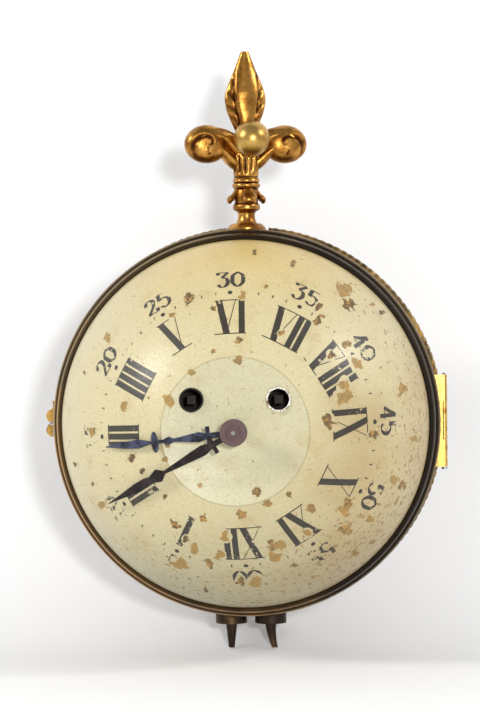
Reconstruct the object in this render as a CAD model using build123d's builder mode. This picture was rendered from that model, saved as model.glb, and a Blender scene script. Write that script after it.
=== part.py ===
"""A globe clock: a ball-shaped case whose front half is a domed, painted dial.

The frame has +Z up and the dial facing -Y. The origin is midway between the two
support prongs, where their flanges seat under the case band. Sizes are in millimetres.
The clock's own axis runs forward (-Y) through the centre of the globe. Heights along
that axis are called "front" and are counted from the plane where the door meets the
case band, positive towards the viewer.
"""

import os
from math import asin, atan2, cos, degrees, hypot, pi, radians, sin, sqrt, tan

from build123d import *

# Globe and case
globe_radius = 93.5
band_radius = 96.5
band_wall = 4.0
band_depth = 22.0
band_lip = 2.0
shell_wall = 1.3
shell_fit = 0.1
shell_rim_front = -1.0
band_groove = 0.8
bead_radius = 2.4
bead_front = -19.0
bead_gap = 0.4
sound_slot_count = 12
sound_slot_length = 22.0
sound_slot_width = 5.0
sound_slot_circle = 34.0
back_hole_radius = 5.0
back_boss_radius = 9.0
back_boss_depth = 2.5
back_boss_crown_radius = 5.4
back_boss_seat_rise = 0.5
back_boss_edge_height = 2.0
back_boss_shoulder_height = 4.5
back_boss_height = 5.5

# Door: bezel and dial
bezel_radius = 97.0
bezel_inner_radius = 91.5
bezel_side_front = 8.2
bezel_outer_bead = [(96.4, 11.4), (94.9, 12.9)]
bezel_groove_end = (94.4, 13.4)
bezel_inner_bead = [(94.3, 16.6), (92.7, 18.6)]
bezel_step_end = (92.2, 18.9)
bezel_rim_radius = 92.0
bezel_rim_height = 0.3
door_gap = 0.3
dial_wall = 1.1
dial_fit = 0.15
dish_radius = 35.0
dish_depth = 3.0
dial_edge_front = 1.0
dial_pin_radius = 0.7
dial_pin_count = 4
centre_hole_radius = 4.5

# Hinge on the right and catch on the left
hinge_length = 46.0
knuckle_radius = 1.5
hinge_pin_radius = 0.8
hinge_running_gap = 0.05
knuckle_gap = 0.25
middle_knuckle = 18.5
hinge_leaf_thickness = 1.2
hinge_leaf_gap = 0.4
hinge_axis_x = 98.9
hinge_head_radius = 1.5
hinge_head_height = 1.0
catch_plate_length = 17.0
catch_plate_width = 9.0
catch_plate_thickness = 1.8
catch_wing_length = 14.0
catch_wing_height = 3.2
catch_wing_thickness = 3.0
catch_spindle_radius = 1.5
catch_arm_thickness = 1.0
catch_arm_width = 4.4
catch_gap = 0.3
catch_front = -6.5
catch_keeper_front = 2.5
catch_keeper_radius = 0.9
catch_keeper_clearance = 0.5

# Movement
plate_radius = 46.0
plate_thickness = 2.4
front_plate_front = 70.0
plate_spacing = 32.0
pillar_radius = 3.0
pillar_circle = 39.5
pillar_angles = (90, 200, 270, 340)
pillar_screw_radius = 2.4
pillar_screw_height = 1.5
winding_x = 20.6
winding_y = 15.0
winding_hole_radius = 5.0
winding_square = 4.0
winding_collar_radius = 3.6
winding_square_recess = 1.5
eyelet_wall = 0.8
eyelet_height = 1.4
dial_foot_radius = 1.6
dial_foot_circle = 31.0
dial_foot_angles = (90, 210, 330)
dial_foot_pin_radius = 0.5
arbor_radius = 1.0
pivot_radius = 0.6
running_gap = 0.05
end_shake = 0.3
pivot_length = 1.2
pillar_screw_shank = 1.3
pillar_screw_depth = 4.0
minute_post_radius = 1.0
minute_post_front = 80.0

# Wheels: teeth, modules, tooth heights in modules, and where each sits along the axis
pressure_angle = radians(20)
gear_backlash = 0.16
wheel_addendum = 0.5
wheel_dedendum = 1.15
pinion_addendum = 0.8
pinion_dedendum = 0.9
barrel_teeth = 76
barrel_module = 0.5
barrel_drum_radius = 17.2
barrel_drum_height = 17.0
drum_wall = 1.2
great_wheel_front = 43.6
second_pinion_teeth = 10
second_wheel_teeth = 60
second_module = 0.4
second_wheel_front = {"going": 39.0, "strike": 36.2}
centre_pinion_teeth = 10
centre_wheel_teeth = 60
centre_pinion_front = 38.0
centre_wheel_front = 64.5
third_pinion_teeth = 8
third_wheel_teeth = 60
third_module = 0.35
third_wheel_front = 54.0
pinion_length = 4.0
wheel_thickness = 1.4
wheel_rim = 3.5
wheel_hub_radius = 2.4
wheel_spokes = 5
wheel_spoke_width = 1.2
motion_distance = 13.0
cannon_teeth = 12
cannon_front = 72.0
minute_wheel_teeth = 36
minute_pinion_teeth = 10
hour_wheel_teeth = 40
hour_wheel_front = 77.0
ratchet_teeth = 24
ratchet_radius = 7.6
ratchet_depth = 1.0
ratchet_front = 70.4
click_gap = 1.6
click_length = 9.0
click_hub_radius = 2.2
click_width = 1.6

# Hands
hand_thickness = 0.8
hour_hand_clearance = 2.2
minute_hand_clearance = 4.0
minute_hand_reach = 72.0
hour_hand_reach = 63.5
hand_boss_radius = 6.4
hand_crossbar_length = 9.0
hand_crossbar_width = 2.0
hour_crossbar_share = 0.19
hour_oval_share = 0.6
hour_oval_half_length = 5.0
hour_oval_half_width = 1.7
minute_crossbar_share = 0.155
hour_profile = [(0, 1.4), (0.2, 1.4), (0.26, 2.4), (0.45, 0.8), (0.49, 2.0), (0.53, 0.8)]
hour_profile += [(0.64, 0.8), (0.73, 2.2), (0.84, 1.6), (1, 0.2)]
minute_profile = [(0, 1.4), (0.16, 1.4), (0.23, 2.6), (0.53, 0.8), (0.575, 3.3), (0.64, 1.6)]
minute_profile += [(0.68, 2.3), (0.76, 2.2), (0.88, 1.1), (1, 0.2)]
minute_angle = 240.6
hour_angle = 263.0
cannon_pipe_radius = 2.0
cannon_pipe_front = 98.5
hour_pipe_radius = 3.0
hour_pipe_front = 96.3
hour_boss_front = 94.3
minute_boss_front = 97.3
arbor_tip_front = 100.3
hand_nut_radius = 3.2
hand_nut_height = 1.8

# Bell and hammer
bell_radius = 33.0
bell_height = 17.0
bell_wall = 1.6
bell_mouth_front = 27.0
bell_stud_radius = 2.0
bell_nut_height = 2.5
hammer_place = (30.0, -30.0)
hammer_front = 23.5
hammer_gap = 0.8
hammer_arm_radius = 1.1
hammer_head_radius = 3.2
hammer_head_length = 9.0

# Finial
finial_front = -10.5
finial_stud_radius = 2.2
flange_radius = 9.7
flange_height = 4.0
neck_radius = 4.0
neck_height = 6.5
calyx_radius = 6.9
calyx_height = 8.0
calyx_tip_radius = 10.3
calyx_leaf_count = 4
calyx_leaf_half_depth = 1.9
calyx_leaf_half_width = 2.8
calyx_leaf_height = 2.4
calyx_leaf_rise = 2.0
calyx_leaf_offset = 1.4
ring_radius = 6.0
ring_height = 3.5
collar_radius = 7.2
collar_height = 6.0
waist_radius = 6.6
waist_height = 10.0
waist_flute_count = 12
waist_flute_radius = 1.5
waist_flute_offset = 0.9
collar_groove_radius = 5.6
ring_swell = 0.9
lily_low = 38.0
lily_sections = [
    (38.0, 4.2, 4.2),
    (50.0, 6.2, 5.1),
    (58.0, 9.4, 5.1),
    (67.0, 10.6, 4.5),
    (78.0, 6.4, 3.3),
    (91.0, 2.0, 1.6),
]
curl_tube_radius = 4.6
curl_roll_radius = 5.4
curl_turn = 285.0
curl_reach = 19.5
curl_height = 43.0
ball_radius = 9.0
ball_height = 46.3
ball_stand_off = 13.5
ball_neck_radius = 5.0
finial_twist = 17.0
nut_radius = 5.0
nut_height = 3.0

# Support prongs
prong_spacing = 20.0
prong_front = -12.0
prong_flange_radius = 8.0
prong_flange_height = 6.8
prong_root_radius = 2.9
prong_tip_radius = 1.5
prong_length = 19.5
prong_lean = 2.0
prong_stud_radius = 1.8

# Derived frame values
centre_height = sqrt(band_radius**2 - (prong_spacing / 2) ** 2)
centre = Vector(0, 0, centre_height)
axis_out = Axis(centre, (0, -1, 0))
face_plane = Plane(origin=centre, x_dir=(1, 0, 0), z_dir=(0, -1, 0))
section_plane = Plane(origin=centre, x_dir=(1, 0, 0), z_dir=(0, 0, -1))


def dome_front(radius, offset=0.0):
    """Front height of the dome's outer surface, moved outwards by offset, at a radius."""
    return sqrt((globe_radius + offset) ** 2 - radius**2)


dish_rim_front = dome_front(dish_radius)
dish_floor_front = dish_rim_front - dish_depth
dish_curve = (dish_radius**2 + dish_depth**2) / (2 * dish_depth)
bezel_lip_front = dome_front(bezel_inner_radius)
back_plate_front = front_plate_front - plate_thickness - plate_spacing


def dish_front(radius):
    """Front height of the dial's dished middle at a radius."""
    return dish_floor_front + dish_curve - sqrt(dish_curve**2 - radius**2)


def save(part, label):
    """Names a finished piece and writes it as parts/LABEL.step."""
    part.label = label
    export_step(part, f"parts/{label}.step")


def turned(points, plane=section_plane, axis=axis_out):
    """A solid of revolution about the clock's axis from (radius, front) corner points."""
    with BuildPart() as body:
        with BuildSketch(plane):
            with BuildLine():
                Polyline(*points, close=True)
            make_face()
        revolve(axis=axis)
    return body.part


def rod(radius, low, high, x=0.0, y=0.0):
    """A round bar along the clock's axis between two front heights."""
    with BuildPart() as body:
        with BuildSketch(face_plane.offset(low)):
            with Locations((x, y)):
                Circle(radius)
        extrude(amount=high - low)
    return body.part


os.makedirs("parts", exist_ok=True)


def arc_points(radius, start, end):
    """Start, middle and end of a section arc: angles are degrees from the rear pole."""
    angles = (start, (start + end) / 2, end)
    return [(radius * sin(radians(a)), -radius * cos(radians(a))) for a in angles]


def spherical_shell(outer, wall, start, end):
    """Part of a hollow ball about the globe's centre, between two angles from the rear pole."""
    with BuildPart() as shell:
        with BuildSketch(section_plane):
            with BuildLine():
                out = ThreePointArc(*arc_points(outer, start, end))
                back = ThreePointArc(*arc_points(outer - wall, end, start))
                Line(out @ 1, back @ 0)
                Line(back @ 1, out @ 0)
            make_face()
        revolve(axis=axis_out)
    return shell.part


def cut(part, *tools):
    """The part with each tool's volume taken away."""
    with BuildPart() as body:
        add(part)
        for tool in tools:
            add(tool, mode=Mode.SUBTRACT)
    return body.part


def joined(*pieces):
    """Several solids fused into one."""
    with BuildPart() as body:
        for piece in pieces:
            add(piece)
    return body.part


def upright_bar(radius, low, high, x=0.0, front=0.0):
    """A round bar standing along Z between two heights over the origin."""
    with BuildPart() as body:
        with BuildSketch(Plane.XY.offset(low)):
            with Locations((x, -front)):
                Circle(radius)
        extrude(amount=high - low)
    return body.part


def band_bar(radius):
    """A solid cylinder wider than the band, used to saddle pieces onto it."""
    return rod(radius, -4 * band_depth, 4 * band_depth)


# Case: rear shell, cast band and the moulding on its back edge
shell_outer = band_radius - band_wall - shell_fit
shell_inner = shell_outer - shell_wall
shell_rim_angle = 90 - degrees(asin(-shell_rim_front / shell_outer))
top_height = centre_height + band_radius
prong_places = (-prong_spacing / 2, prong_spacing / 2)
finial_hole = upright_bar(finial_stud_radius, centre_height, 2 * top_height, 0, finial_front)
prong_holes = [
    upright_bar(prong_stud_radius, -prong_length, centre_height / 2, x, prong_front)
    for x in prong_places
]
catch_side = Plane(origin=centre, x_dir=(0, 0, 1), z_dir=(-1, 0, 0))


def side_bar(radius, near, far, front, height=0.0):
    """A round bar along X on the left side, between two distances from the clock's axis."""
    with BuildPart() as bar:
        with BuildSketch(catch_side.offset(near)):
            with Locations((height, -front)):
                Circle(radius)
        extrude(amount=far - near)
    return bar.part


catch_hole = side_bar(catch_spindle_radius + running_gap, 0, 2 * band_radius, catch_front)


def make_rear_shell():
    """Rear half of the globe, spun from sheet, with a rosette of sound slots."""
    hub_angle = degrees(asin(back_hole_radius / shell_outer))
    spindle_room = side_bar(catch_spindle_radius + 1.0, 0, 2 * band_radius, catch_front)
    with BuildPart() as shell:
        add(spherical_shell(shell_outer, shell_wall, hub_angle, shell_rim_angle))
        with BuildSketch(face_plane.offset(-2 * globe_radius)):
            with PolarLocations(sound_slot_circle, sound_slot_count):
                SlotOverall(sound_slot_length, sound_slot_width)
        extrude(amount=globe_radius * 1.5, mode=Mode.SUBTRACT)
    return cut(shell.part, finial_hole, *prong_holes, spindle_room)


def make_case_band():
    """Cast ring round the middle of the globe, with a lip that holds the rear shell."""
    inner = band_radius - band_wall
    lip_radius = sqrt(shell_outer**2 - (band_depth - band_lip) ** 2) + shell_fit
    ring = turned(
        [
            (inner, 0),
            (band_radius - band_groove, 0),
            (band_radius, -band_groove),
            (band_radius, -band_depth + band_groove),
            (band_radius - band_groove, -band_depth),
            (lip_radius, -band_depth),
            (lip_radius, -band_depth + band_lip),
            (inner, -band_depth + band_lip),
        ]
    )
    return cut(ring, finial_hole, *prong_holes, catch_hole)


def make_edge_bead():
    """Rope moulding round the back edge of the band, cut away beside the flanges."""
    with BuildPart() as bead:
        with BuildSketch(section_plane):
            with Locations((band_radius, bead_front)):
                Circle(bead_radius)
        revolve(axis=axis_out)
    finial_room = upright_bar(
        flange_radius + bead_gap, centre_height, 2 * top_height, 0, finial_front
    )
    prong_rooms = [
        upright_bar(prong_flange_radius + bead_gap, -band_radius, centre_height, x, prong_front)
        for x in prong_places
    ]
    return cut(bead.part, band_bar(band_radius), finial_room, *prong_rooms)


rear_shell = make_rear_shell()
save(rear_shell, "rear_shell")
save(make_case_band(), "case_band")
save(make_edge_bead(), "edge_bead")

# Back boss: a turned stud that closes the hole at the rear pole
boss_seat = -sqrt(shell_outer**2 - back_hole_radius**2)
back_boss = turned(
    [
        (0, boss_seat + back_boss_depth),
        (back_hole_radius, boss_seat + back_boss_depth),
        (back_hole_radius, boss_seat + back_boss_seat_rise),
        (back_boss_radius, boss_seat + back_boss_seat_rise),
        (back_boss_radius, boss_seat - back_boss_edge_height),
        (back_boss_crown_radius, boss_seat - back_boss_shoulder_height),
        (0, boss_seat - back_boss_height),
    ]
)
save(cut(back_boss, rear_shell), "back_boss")


# Door: bezel, dial and the pins between them
def make_bezel():
    """Moulded ring that carries the dial: two beads, a groove and a thin lip."""
    seat_radius = globe_radius + dial_fit
    lip_front = sqrt(seat_radius**2 - bezel_inner_radius**2)
    back_radius = sqrt(seat_radius**2 - door_gap**2)
    middle_front = (lip_front + door_gap) / 2
    with BuildPart() as ring:
        with BuildSketch(section_plane):
            with BuildLine():
                Line((back_radius, door_gap), (bezel_radius, door_gap))
                side = Line((bezel_radius, door_gap), (bezel_radius, bezel_side_front))
                outer_bead = ThreePointArc(side @ 1, *bezel_outer_bead)
                groove = Line(outer_bead @ 1, bezel_groove_end)
                inner_bead = ThreePointArc(groove @ 1, *bezel_inner_bead)
                step = Line(inner_bead @ 1, bezel_step_end)
                rim = Line(step @ 1, (bezel_rim_radius, lip_front + bezel_rim_height))
                lip = Line(rim @ 1, (bezel_inner_radius, lip_front))
                seat_middle = (sqrt(seat_radius**2 - middle_front**2), middle_front)
                ThreePointArc(lip @ 1, seat_middle, (back_radius, door_gap))
            make_face()
        revolve(axis=axis_out)
    return ring.part


def make_dial():
    """Domed copper dial with a dished middle, a centre hole and two winding holes."""
    rim_angle = 180 - degrees(asin(dish_radius / globe_radius))
    dish_middle = dish_radius / 2
    with BuildPart() as dial:
        add(spherical_shell(globe_radius, dial_wall, dial_edge_angle, rim_angle))
        with BuildSketch(section_plane):
            with BuildLine():
                floor_point = (dish_middle, dish_front(dish_middle))
                face = ThreePointArc((0, dish_floor_front), floor_point, (dish_radius, dish_rim_front))
                edge = Line(face @ 1, (dish_radius, dish_rim_front - 1.3 * dial_wall))
                under_point = (dish_middle, dish_front(dish_middle) - dial_wall)
                back = ThreePointArc(edge @ 1, under_point, (0, dish_floor_front - dial_wall))
                Line(back @ 1, face @ 0)
            make_face()
        revolve(axis=axis_out)
        with BuildSketch(face_plane.offset(front_plate_front)):
            Circle(centre_hole_radius)
            with Locations((-winding_x, winding_y), (winding_x, winding_y)):
                Circle(eyelet_radius)
        extrude(amount=globe_radius, mode=Mode.SUBTRACT)
    return dial.part


eyelet_radius = winding_hole_radius + eyelet_wall
dial_edge_angle = 90 + degrees(asin(dial_edge_front / globe_radius))


def make_dial_pins():
    """Four small radial pins that hold the dial's edge in the bezel."""
    outer = (bezel_radius + globe_radius) / 2
    with BuildPart() as pins:
        for k in range(dial_pin_count):
            turn = radians(45 + 360 * k / dial_pin_count)
            out = Vector(cos(turn), 0, sin(turn))
            foot = centre + out * (globe_radius - 3.0) + Vector(0, -dial_pin_front, 0)
            with BuildSketch(Plane(origin=foot, z_dir=out)):
                Circle(dial_pin_radius)
            extrude(amount=outer - globe_radius + 3.0)
    return pins.part


dial_pin_front = bezel_lip_front / 3
dial_pins = make_dial_pins()
dial = cut(make_dial(), dial_pins)
save(cut(make_bezel(), dial_pins), "bezel")
save(dial, "dial")
save(dial_pins, "dial_pins")

# Eyelets line the two winding holes
winding_radius = hypot(winding_x, winding_y)
eyelet_front = dish_front(winding_radius + eyelet_radius) + 0.2
winding_sides = ((-1, "going"), (1, "strike"))
for side, name in winding_sides:
    x = side * winding_x
    ring = rod(eyelet_radius, eyelet_front - eyelet_height, eyelet_front, x, winding_y)
    hole = rod(winding_hole_radius, eyelet_front - 2 * eyelet_height, 2 * eyelet_front, x, winding_y)
    save(cut(ring, hole), f"{name}_winding_eyelet")

# Hinge on the right edge: two leaves with knuckles, and a headed pin
half_hinge = hinge_length / 2
half_middle = middle_knuckle / 2
case_knuckles = [(-half_middle, half_middle)]
door_knuckles = [(-half_hinge, -half_middle - knuckle_gap), (half_middle + knuckle_gap, half_hinge)]


def hinge_bar(radius, low, high):
    """A round bar on the hinge's axis between two heights from the globe's centre."""
    return upright_bar(radius, centre_height + low, centre_height + high, hinge_axis_x)


def hinge_leaf(low_front, inner_radius, own, other):
    """A flat leaf with an arc inner edge. own and other are (low, high) knuckle heights."""
    room = [
        hinge_bar(knuckle_radius + knuckle_gap, low - knuckle_gap, high + knuckle_gap)
        for low, high in other
    ]
    bore = hinge_bar(hinge_pin_radius + hinge_running_gap, -hinge_length, hinge_length)
    with BuildPart() as leaf:
        with BuildSketch(face_plane.offset(low_front)):
            with Locations((hinge_axis_x / 2, 0)):
                Rectangle(hinge_axis_x, hinge_length)
            Circle(inner_radius, mode=Mode.SUBTRACT)
        extrude(amount=hinge_leaf_thickness)
    knuckles = [hinge_bar(knuckle_radius, low, high) for low, high in own]
    return cut(joined(cut(leaf.part, *room), *knuckles), bore)


save(hinge_leaf(hinge_leaf_gap, bezel_radius, door_knuckles, case_knuckles), "door_hinge_leaf")
case_leaf_front = -hinge_leaf_gap - hinge_leaf_thickness
save(hinge_leaf(case_leaf_front, band_radius, case_knuckles, door_knuckles), "case_hinge_leaf")
pin_low = -half_hinge - knuckle_gap
hinge_pin = joined(
    hinge_bar(hinge_pin_radius, pin_low, half_hinge + hinge_head_height),
    hinge_bar(hinge_head_radius, pin_low - hinge_head_height, pin_low),
)
save(hinge_pin, "hinge_pin")

# Catch on the left edge: plate on the band, winged button with an arm, keeper on the bezel
catch_plate_out = band_radius + catch_plate_thickness
catch_arm_in = catch_plate_out + catch_gap
catch_arm_out = catch_arm_in + catch_arm_thickness


def make_catch_plate():
    """Rounded plate saddled on the band, with a hole for the spindle."""
    seat = band_radius - 2.0
    with BuildPart() as plate:
        with BuildSketch(catch_side.offset(seat)):
            with Locations((0, -catch_front)):
                RectangleRounded(catch_plate_length, catch_plate_width, 2.0)
        extrude(amount=catch_plate_out - seat)
    return cut(plate.part, band_bar(band_radius), catch_hole)


def make_catch_button():
    """Winged thumb-piece on a spindle: two rounded lobes with a notch between them."""
    half = catch_wing_length / 2
    rise = catch_wing_height
    wing_plane = Plane(
        origin=centre + Vector(-catch_arm_out, catch_wing_thickness / 2 - catch_front, 0),
        x_dir=(0, 0, 1),
        z_dir=(0, -1, 0),
    )
    with BuildPart() as button:
        with BuildSketch(wing_plane):
            with BuildLine():
                for side in (-1, 1):
                    end, crest, notch = side * half, side * half / 2, (0, rise * 0.3)
                    ThreePointArc((end, 0), (side * half * 0.85, rise * 0.7), (crest, rise))
                    ThreePointArc((crest, rise), (side * half * 0.2, rise * 0.75), notch)
                Line((-half, 0), (half, 0))
            make_face()
        extrude(amount=catch_wing_thickness)
    spindle = side_bar(catch_spindle_radius, band_radius - band_wall, catch_arm_out + 0.2, catch_front)
    return joined(button.part, spindle)


def make_catch_arm():
    """Flat arm that stands up from the spindle, with a slot that swings over the keeper."""
    reach = catch_keeper_front - catch_front
    slot = catch_keeper_radius + catch_keeper_clearance
    with BuildPart() as arm:
        with BuildSketch(catch_side.offset(catch_arm_in)):
            with Locations((reach / 2, -catch_front)):
                SlotCenterToCenter(reach, catch_arm_width)
            with Locations((0, -catch_front)):
                Circle(catch_spindle_radius, mode=Mode.SUBTRACT)
            with Locations((reach, -catch_front)):
                Circle(slot, mode=Mode.SUBTRACT)
            with Locations((reach, -catch_front - catch_arm_width / 2)):
                Rectangle(2 * slot, catch_arm_width, mode=Mode.SUBTRACT)
        extrude(amount=catch_arm_thickness)
    return arm.part


save(make_catch_plate(), "catch_plate")
save(make_catch_button(), "catch_button")
save(make_catch_arm(), "catch_arm")
keeper = side_bar(catch_keeper_radius, bezel_radius - 1.0, catch_arm_out, catch_keeper_front)
save(cut(keeper, band_bar(bezel_radius)), "catch_keeper")


# Finial on the band's top: flange, turned stem, lily leaf with curls, ball and stud
finial_base = centre_height + sqrt(band_radius**2 - flange_radius**2)
finial_axis = Axis((0, -finial_front, 0), (0, 0, 1))
finial_plane = Plane(origin=(0, -finial_front, finial_base), x_dir=(1, 0, 0), z_dir=(0, -1, 0))


def finial_turned(points):
    """A turned piece about the finial's axis from (radius, height over the base) points."""
    with BuildPart() as body:
        with BuildSketch(finial_plane):
            with BuildLine():
                Polyline(*points, close=True)
            make_face()
        revolve(axis=finial_axis)
    return body.part


def make_finial_stem():
    """Concave neck, ring, calyx, two beads and a fluted waist, all turned in one."""
    neck_top = flange_height + neck_height
    ring_top = neck_top + ring_height
    calyx_top = ring_top + calyx_height
    collar_top = calyx_top + collar_height
    waist_top = collar_top + waist_height
    middle = flange_height + neck_height / 2
    with BuildPart() as stem:
        with BuildSketch(finial_plane):
            with BuildLine():
                Line((0, flange_height), (calyx_radius, flange_height))
                neck = ThreePointArc(
                    (calyx_radius, flange_height), (neck_radius, middle), (ring_radius, neck_top)
                )
                ring = ThreePointArc(
                    neck @ 1, (ring_radius + ring_swell, (neck_top + ring_top) / 2), (neck_radius, ring_top)
                )
                flare = ThreePointArc(
                    ring @ 1,
                    (calyx_tip_radius * 0.8, ring_top + calyx_height * 0.4),
                    (neck_radius + 1.2, calyx_top),
                )
                low_bead = ThreePointArc(
                    flare @ 1,
                    (collar_radius, calyx_top + collar_height / 4),
                    (collar_groove_radius, calyx_top + collar_height / 2),
                )
                high_bead = ThreePointArc(
                    low_bead @ 1,
                    (collar_radius, collar_top - collar_height / 4),
                    (collar_groove_radius, collar_top),
                )
                waist = Line(high_bead @ 1, (waist_radius, waist_top))
                top = Line(waist @ 1, (0, waist_top))
                Line(top @ 1, (0, flange_height))
            make_face()
        revolve(axis=finial_axis)
        with BuildSketch(Plane(origin=(0, -finial_front, finial_base + collar_top), z_dir=(0, 0, 1))):
            with PolarLocations(waist_radius + waist_flute_offset, waist_flute_count):
                Circle(waist_flute_radius)
        extrude(amount=waist_height, mode=Mode.SUBTRACT)
        leaf_low = finial_base + ring_top + calyx_leaf_rise
        calyx_plane = Plane(origin=(0, -finial_front, leaf_low), z_dir=(0, 0, 1))
        with BuildSketch(calyx_plane):
            with PolarLocations(calyx_radius + calyx_leaf_offset, calyx_leaf_count):
                Ellipse(calyx_leaf_half_depth, calyx_leaf_half_width)
        extrude(amount=calyx_leaf_height)
    return stem.part


def make_lily():
    """Tall middle leaf between two curls that roll outwards and down."""
    with BuildPart() as leaf:
        for height, half_width, half_depth in lily_sections:
            with BuildSketch(Plane(origin=(0, -finial_front, finial_base + height), z_dir=(0, 0, 1))):
                Ellipse(half_width, half_depth)
        loft()
    curls = [make_curl(side) for side in (-1, 1)]
    return joined(leaf.part, *curls)


def make_curl(side):
    """One rolled leaf: a tube that turns most of a circle and ends in rounded tips."""
    x, z = side * curl_reach, finial_base + curl_height
    roll_centre = Vector(x, -finial_front, z)
    roll_axis = Axis(roll_centre, (0, -side, 0))
    first = Vector(-side * curl_roll_radius, 0, 0)
    with BuildPart() as curl:
        with BuildSketch(Plane(origin=roll_centre + first, x_dir=(1, 0, 0), z_dir=(0, 0, 1))):
            Circle(curl_tube_radius)
        revolve(axis=roll_axis, revolution_arc=-curl_turn)
        last = first.rotate(Axis((0, 0, 0), (0, -side, 0)), -curl_turn)
        with Locations(roll_centre + first, roll_centre + last):
            Sphere(curl_tube_radius)
    with BuildPart() as root:
        foot = Vector(side * 1.0, -finial_front, finial_base + lily_low + 3)
        reach = roll_centre + first - foot
        with BuildSketch(Plane(origin=foot, z_dir=reach)):
            Circle(curl_tube_radius)
        extrude(amount=reach.length)
    return joined(curl.part, root.part)


def make_ball():
    """Ball knob on a short neck that stands out in front of the waist."""
    height = finial_base + ball_height
    with BuildPart() as ball:
        with BuildSketch(Plane(origin=(0, -finial_front, height), x_dir=(1, 0, 0), z_dir=(0, -1, 0))):
            Circle(ball_neck_radius)
        extrude(amount=ball_stand_off)
        with Locations((0, -finial_front - ball_stand_off, height)):
            Sphere(ball_radius)
    return ball.part


def twisted(part):
    """The piece turned with the finial about its upright axis."""
    return part.rotate(finial_axis, finial_twist)


flange_blank = finial_turned(
    [
        (0, -2.0),
        (flange_radius, -2.0),
        (flange_radius, flange_height * 0.45),
        (flange_radius - 0.8, flange_height * 0.7),
        (calyx_radius + 0.6, flange_height),
        (0, flange_height),
    ]
)
stud_top = finial_base + flange_height + neck_height
stud_low = centre_height + shell_inner - nut_height - 2.5
finial_stud = upright_bar(finial_stud_radius, stud_low, stud_top, 0, finial_front)
stem = twisted(make_finial_stem())
lily = twisted(make_lily())
save(cut(flange_blank, band_bar(band_radius), finial_hole), "finial_flange")
save(cut(stem, finial_stud), "finial_stem")
save(cut(lily, stem), "finial_lily")
save(cut(twisted(make_ball()), lily, stem), "finial_ball")
save(finial_stud, "finial_stud")


def inside_nut(x, front, up, stud_radius):
    """Hexagon nut on a stud, its outer end shaped to the inside of the rear shell."""
    seat = up * shell_inner
    low = centre_height + min(seat, seat - up * (nut_height + 3.0))
    with BuildPart() as nut:
        with BuildSketch(Plane.XY.offset(low)):
            with Locations((x, -front)):
                RegularPolygon(nut_radius, 6)
                Circle(stud_radius, mode=Mode.SUBTRACT)
        extrude(amount=nut_height + 3.0)
        with Locations(centre):
            Sphere(shell_inner, mode=Mode.INTERSECT)
    return nut.part


save(inside_nut(0, finial_front, 1, finial_stud_radius), "finial_nut")

# Two prongs under the band, each with a saddled flange and a stud
prong_flange_low = -prong_flange_height
stud_inner = centre_height - shell_inner + nut_height + 2.0
for x, name, lean in ((-prong_spacing / 2, "left", 0.0), (prong_spacing / 2, "right", prong_lean)):
    with BuildPart() as spike:
        for share in (0.0, 0.5, 1.0):
            height = prong_flange_low - share * (prong_length - prong_flange_height)
            with BuildSketch(Plane.XY.offset(height)):
                with Locations((x + lean * share**2, -prong_front)):
                    Circle(prong_root_radius + share * (prong_tip_radius - prong_root_radius))
        loft()
    flange = cut(
        upright_bar(prong_flange_radius, prong_flange_low, prong_flange_height, x, prong_front),
        band_bar(band_radius),
    )
    stud = upright_bar(prong_stud_radius, prong_flange_low + 0.5, stud_inner, x, prong_front)
    save(joined(spike.part, flange, stud), f"prong_{name}")
    save(inside_nut(x, prong_front, -1, prong_stud_radius), f"prong_nut_{name}")


# Gears
def gear_outline(teeth, module, addendum, dedendum, phase):
    """Corner points of a spur gear: involute flanks outside the base circle, radial inside."""
    pitch = module * teeth / 2
    base = pitch * cos(pressure_angle)
    root, tip = pitch - dedendum * module, pitch + addendum * module
    half = pi / (2 * teeth) - gear_backlash / (4 * pitch) + tan(pressure_angle) - pressure_angle
    start = max(base, root)
    flank = [start + (tip - start) * step / 3 for step in range(4)]
    if root < base:
        flank = [root] + flank
    points = []
    for tooth in range(teeth):
        middle = phase + 2 * pi * tooth / teeth
        sides = []
        for radius in flank:
            roll = sqrt(max((radius / base) ** 2 - 1, 0))
            sides.append((radius, half - roll + atan2(roll, 1)))
        points += [(r * cos(middle - a), r * sin(middle - a)) for r, a in sides]
        points += [(r * cos(middle + a), r * sin(middle + a)) for r, a in reversed(sides)]
    return points


def gear(teeth, module, low, high, place, partner, is_pinion=False):
    """A gear between two front heights. A wheel's tooth, or a pinion's gap, faces the partner."""
    phase = atan2(partner[1] - place[1], partner[0] - place[0])
    addendum, dedendum = wheel_addendum, wheel_dedendum
    if is_pinion:
        phase += pi / teeth
        addendum, dedendum = pinion_addendum, pinion_dedendum
    with BuildPart() as body:
        with BuildSketch(face_plane.offset(low)):
            with BuildLine():
                corners = gear_outline(teeth, module, addendum, dedendum, phase)
                Polyline(*[(x + place[0], y + place[1]) for x, y in corners], close=True)
            make_face()
        extrude(amount=high - low)
    return body.part


def crossed_wheel(teeth, module, low, place, partner, hole):
    """A thin wheel with five spokes and a hole for its arbor."""
    high = low + wheel_thickness
    outer = module * teeth / 2 - wheel_rim * module
    with BuildPart() as openings:
        with BuildSketch(face_plane.offset(low)):
            with Locations(place):
                Circle(outer)
                Circle(wheel_hub_radius, mode=Mode.SUBTRACT)
            for spoke in range(wheel_spokes):
                turn = 360 * spoke / wheel_spokes
                middle = (
                    place[0] + outer / 2 * cos(radians(turn)),
                    place[1] + outer / 2 * sin(radians(turn)),
                )
                with Locations(Location(middle, turn)):
                    Rectangle(outer + 2, wheel_spoke_width, mode=Mode.SUBTRACT)
        extrude(amount=wheel_thickness)
    wheel = gear(teeth, module, low, high, place, partner)
    return cut(wheel, openings.part, rod(hole, low - 1, high + 1, *place))


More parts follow.
